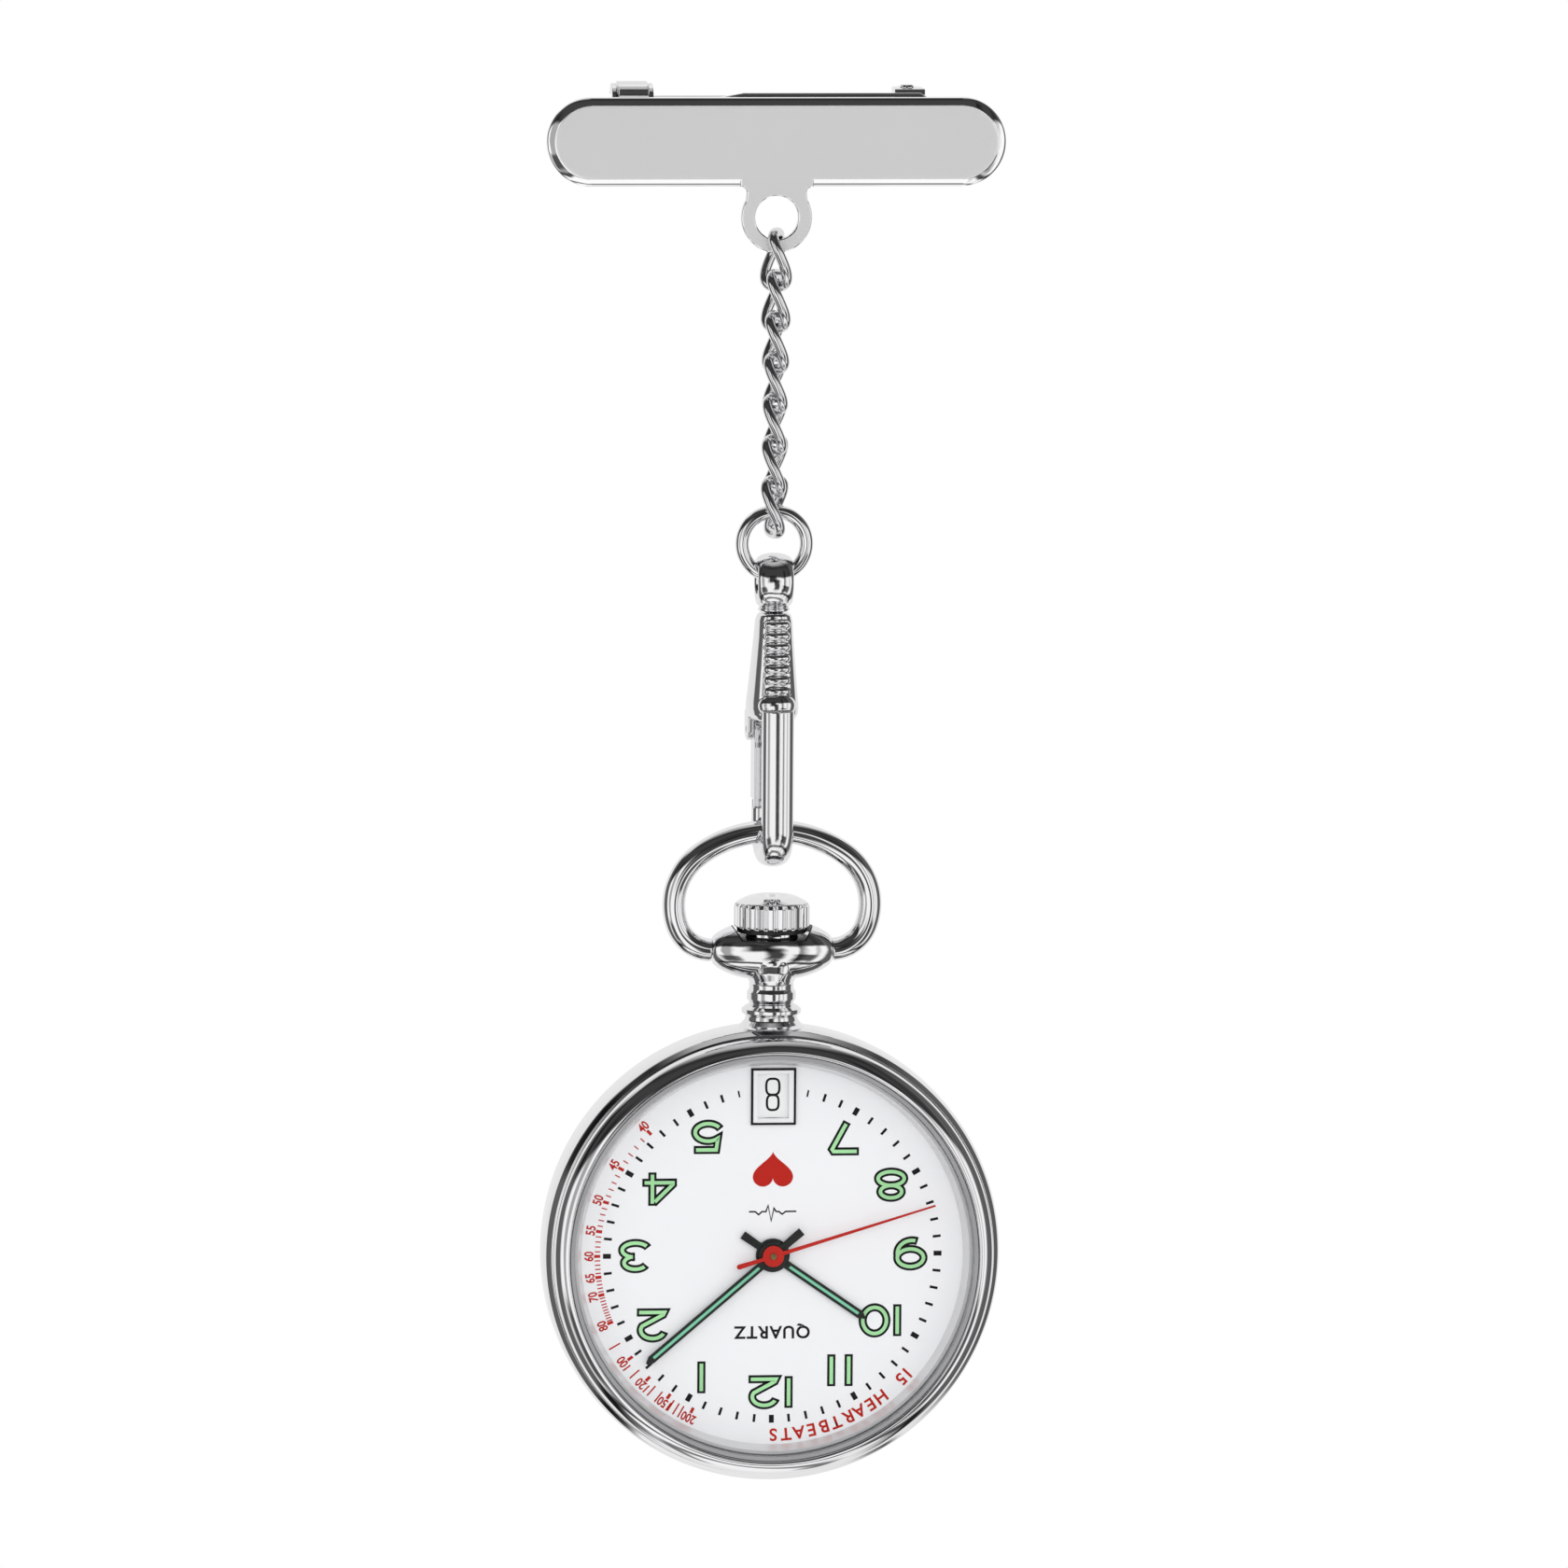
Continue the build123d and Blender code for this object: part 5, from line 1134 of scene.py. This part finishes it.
# ================================================================== stage ===
cam_data = bpy.data.cameras.new("camera")
cam = link_new("camera", cam_data)
AZ, EL, DIST = math.radians(-6), math.radians(7), 0.90
aim = Vector((0.00074, -0.0028, -0.04428))
back_v = Vector((math.sin(AZ) * math.cos(EL), -math.cos(AZ) * math.cos(EL), math.sin(EL)))
cam.location = aim + back_v * DIST
cam.rotation_mode = "QUATERNION"
cam.rotation_quaternion = (-back_v).to_track_quat("-Z", "Y") @ Matrix.Rotation(math.radians(0.38), 4, "Z").to_quaternion()
cam_data.sensor_width = 36.0
cam_data.lens = 36.0 * DIST / 0.10207
cam_data.clip_start, cam_data.clip_end = 0.05, 20.0
bpy.context.scene.camera = cam
bpy.context.scene.view_settings.view_transform = "Standard"

world = bpy.data.worlds.new("studio")
bpy.context.scene.world = world
world.use_nodes = True
n = Nodes(world.node_tree)
out = n.add("ShaderNodeOutputWorld")
tc = n.add("ShaderNodeTexCoord")
wob = n.add("ShaderNodeTexNoise")
wob.inputs["Scale"].default_value = 2.2
wob.inputs["Detail"].default_value = 2.0
n.link(tc, "Generated", wob, "Vector")
wsep = n.add("ShaderNodeSeparateColor")
n.link(wob, "Color", wsep, "Color")
right = Vector((math.cos(AZ), math.sin(AZ), 0))
upv = back_v.cross(right).normalized()


def dot_with(v):
    d = n.add("ShaderNodeVectorMath")
    d.operation = "DOT_PRODUCT"
    n.link(tc, "Generated", d, 0)
    d.inputs[1].default_value = tuple(v)
    return d, "Value"


# direction as degrees to the right of, and above, the line of sight
hor = n.math("ARCTAN2", dot_with(right), dot_with(back_v))
hor = n.math("MULTIPLY", (hor, 0), 57.2958)
ver = n.math("MULTIPLY", (n.math("ARCSINE", dot_with(upv)), 0), 57.2958)
WOB = 14.0
hor = n.math("ADD", (hor, 0), (n.math("MULTIPLY", (n.math("SUBTRACT", (wsep, "Red"), 0.5), 0), WOB), 0))
ver = n.math("ADD", (ver, 0), (n.math("MULTIPLY", (n.math("SUBTRACT", (wsep, "Green"), 0.5), 0), WOB), 0))


def rise(src, at_, soft):
    mr = n.add("ShaderNodeMapRange")
    mr.interpolation_type = "SMOOTHSTEP"
    mr.inputs["From Min"].default_value, mr.inputs["From Max"].default_value = at_ - soft, at_ + soft
    n.link(src, 0, mr, "Value")
    return mr, "Result"


def pulse_(src, lo, hi, s0, s1):
    down = n.math("SUBTRACT", 1.0, rise(src, hi, s1))
    return n.math("MULTIPLY", rise(src, lo, s0), (down, 0)), 0


total = None
#        left  right  low  high  depth  soft edges: left right low high
CARDS = [(-85, 85, 13, 66, .95, 12, 12, 4, 10),          # dark ceiling
         (-120, 120, 50, 88, .5, 16, 16, 8, 10),
         (-15, 12, -7, 18, .96, 7, 7, 5, 4),             # lens and its hood
         (4, 21, -38, 4, .94, 4, 4, 8, 5),               # stand under the lens
         (34, 41, -60, 40, .8, 2, 7, 8, 8),              # right-hand flag
         (56, 64, -70, 50, .4, 3, 3, 8, 8),
         (-112, -68, -68, 45, .88, 6, 6, 10, 8),         # left-hand flag
         (-52, -30, -50, 30, .6, 3, 5, 8, 8),
         (-60, -22, -46, -24, .8, 8, 4, 4, 3),           # low flags, left and right
         (30, 62, -44, -20, .9, 4, 8, 4, 3),
         (80, 124, -60, 60, .88, 6, 6, 12, 8),           # dark side of the room
         (-140, 140, -56, -48, .92, 8, 8, 2.5, 2.5),     # table edge
         (-140, 140, -77, -69, .8, 8, 8, 3, 3)]
for l, r, lo, hi, depth, sl, sr, sb, st in CARDS:
    f = n.math("MULTIPLY", pulse_(hor, l, r, sl, sr), pulse_(ver, lo, hi, sb, st))
    f = n.math("SUBTRACT", 1.0, (n.math("MULTIPLY", (f, 0), depth), 0))
    total = f if total is None else n.math("MULTIPLY", (total, 0), (f, 0))
# the sheet behind is a little darker than the tent in front
mr = n.add("ShaderNodeMapRange")
mr.interpolation_type = "SMOOTHSTEP"
mr.inputs["From Min"].default_value, mr.inputs["From Max"].default_value = -0.55, 0.05
mr.inputs["To Min"].default_value, mr.inputs["To Max"].default_value = 0.84, 1.0
n.t.links.new(dot_with(back_v)[0].outputs["Value"], mr.inputs["Value"])
total = n.math("MULTIPLY", (total, 0), (mr, "Result"))
lp = n.add("ShaderNodeLightPath")
bg_cam = n.add("ShaderNodeBackground")
bg_cam.inputs["Color"].default_value = (1, 1, 1, 1)
bg_cam.inputs["Strength"].default_value = 1.0
bg_ref = n.add("ShaderNodeBackground")
n.link(total, 0, bg_ref, "Color")
bg_ref.inputs["Strength"].default_value = 1.04
bg_dif = n.add("ShaderNodeBackground")
bg_dif.inputs["Color"].default_value = (1, 1, 1, 1)
bg_dif.inputs["Strength"].default_value = 0.98
mixa = n.add("ShaderNodeMixShader")
n.link(lp, "Is Diffuse Ray", mixa, "Fac")
n.link(bg_ref, "Background", mixa, 1)
n.link(bg_dif, "Background", mixa, 2)
mixb = n.add("ShaderNodeMixShader")
n.link(lp, "Is Camera Ray", mixb, "Fac")
n.link(mixa, "Shader", mixb, 1)
n.link(bg_cam, "Background", mixb, 2)
n.link(mixb, "Shader", out, "Surface")


def area(name, loc, target, size, power):
    ld = bpy.data.lights.new(name, "AREA")
    ld.shape, ld.size, ld.energy = "DISK", size, power
    o = link_new(name, ld)
    o.location = loc
    o.rotation_mode = "QUATERNION"
    o.rotation_quaternion = (Vector(target) - Vector(loc)).to_track_quat("-Z", "Y")
    o.visible_glossy = False
    return o


area("key_soft", (0.06, -0.62, 0.10), (0, 0, -0.06), 0.50, 0.9)

fme = raw([(160 * math.cos(2 * pi * k / 64), 160 * math.sin(2 * pi * k / 64), -165) for k in range(64)], [tuple(range(64))])
fme.transform(Matrix.Scale(K, 4))
fmat = material("floor_pale", (0.88, 0.88, 0.88), 0.8, 0.0, (60, 60, 60), 0.02, 0.01, 0.05)
fme.materials.append(fmat)
floor = link_new("floor", fme)
floor.visible_glossy = False
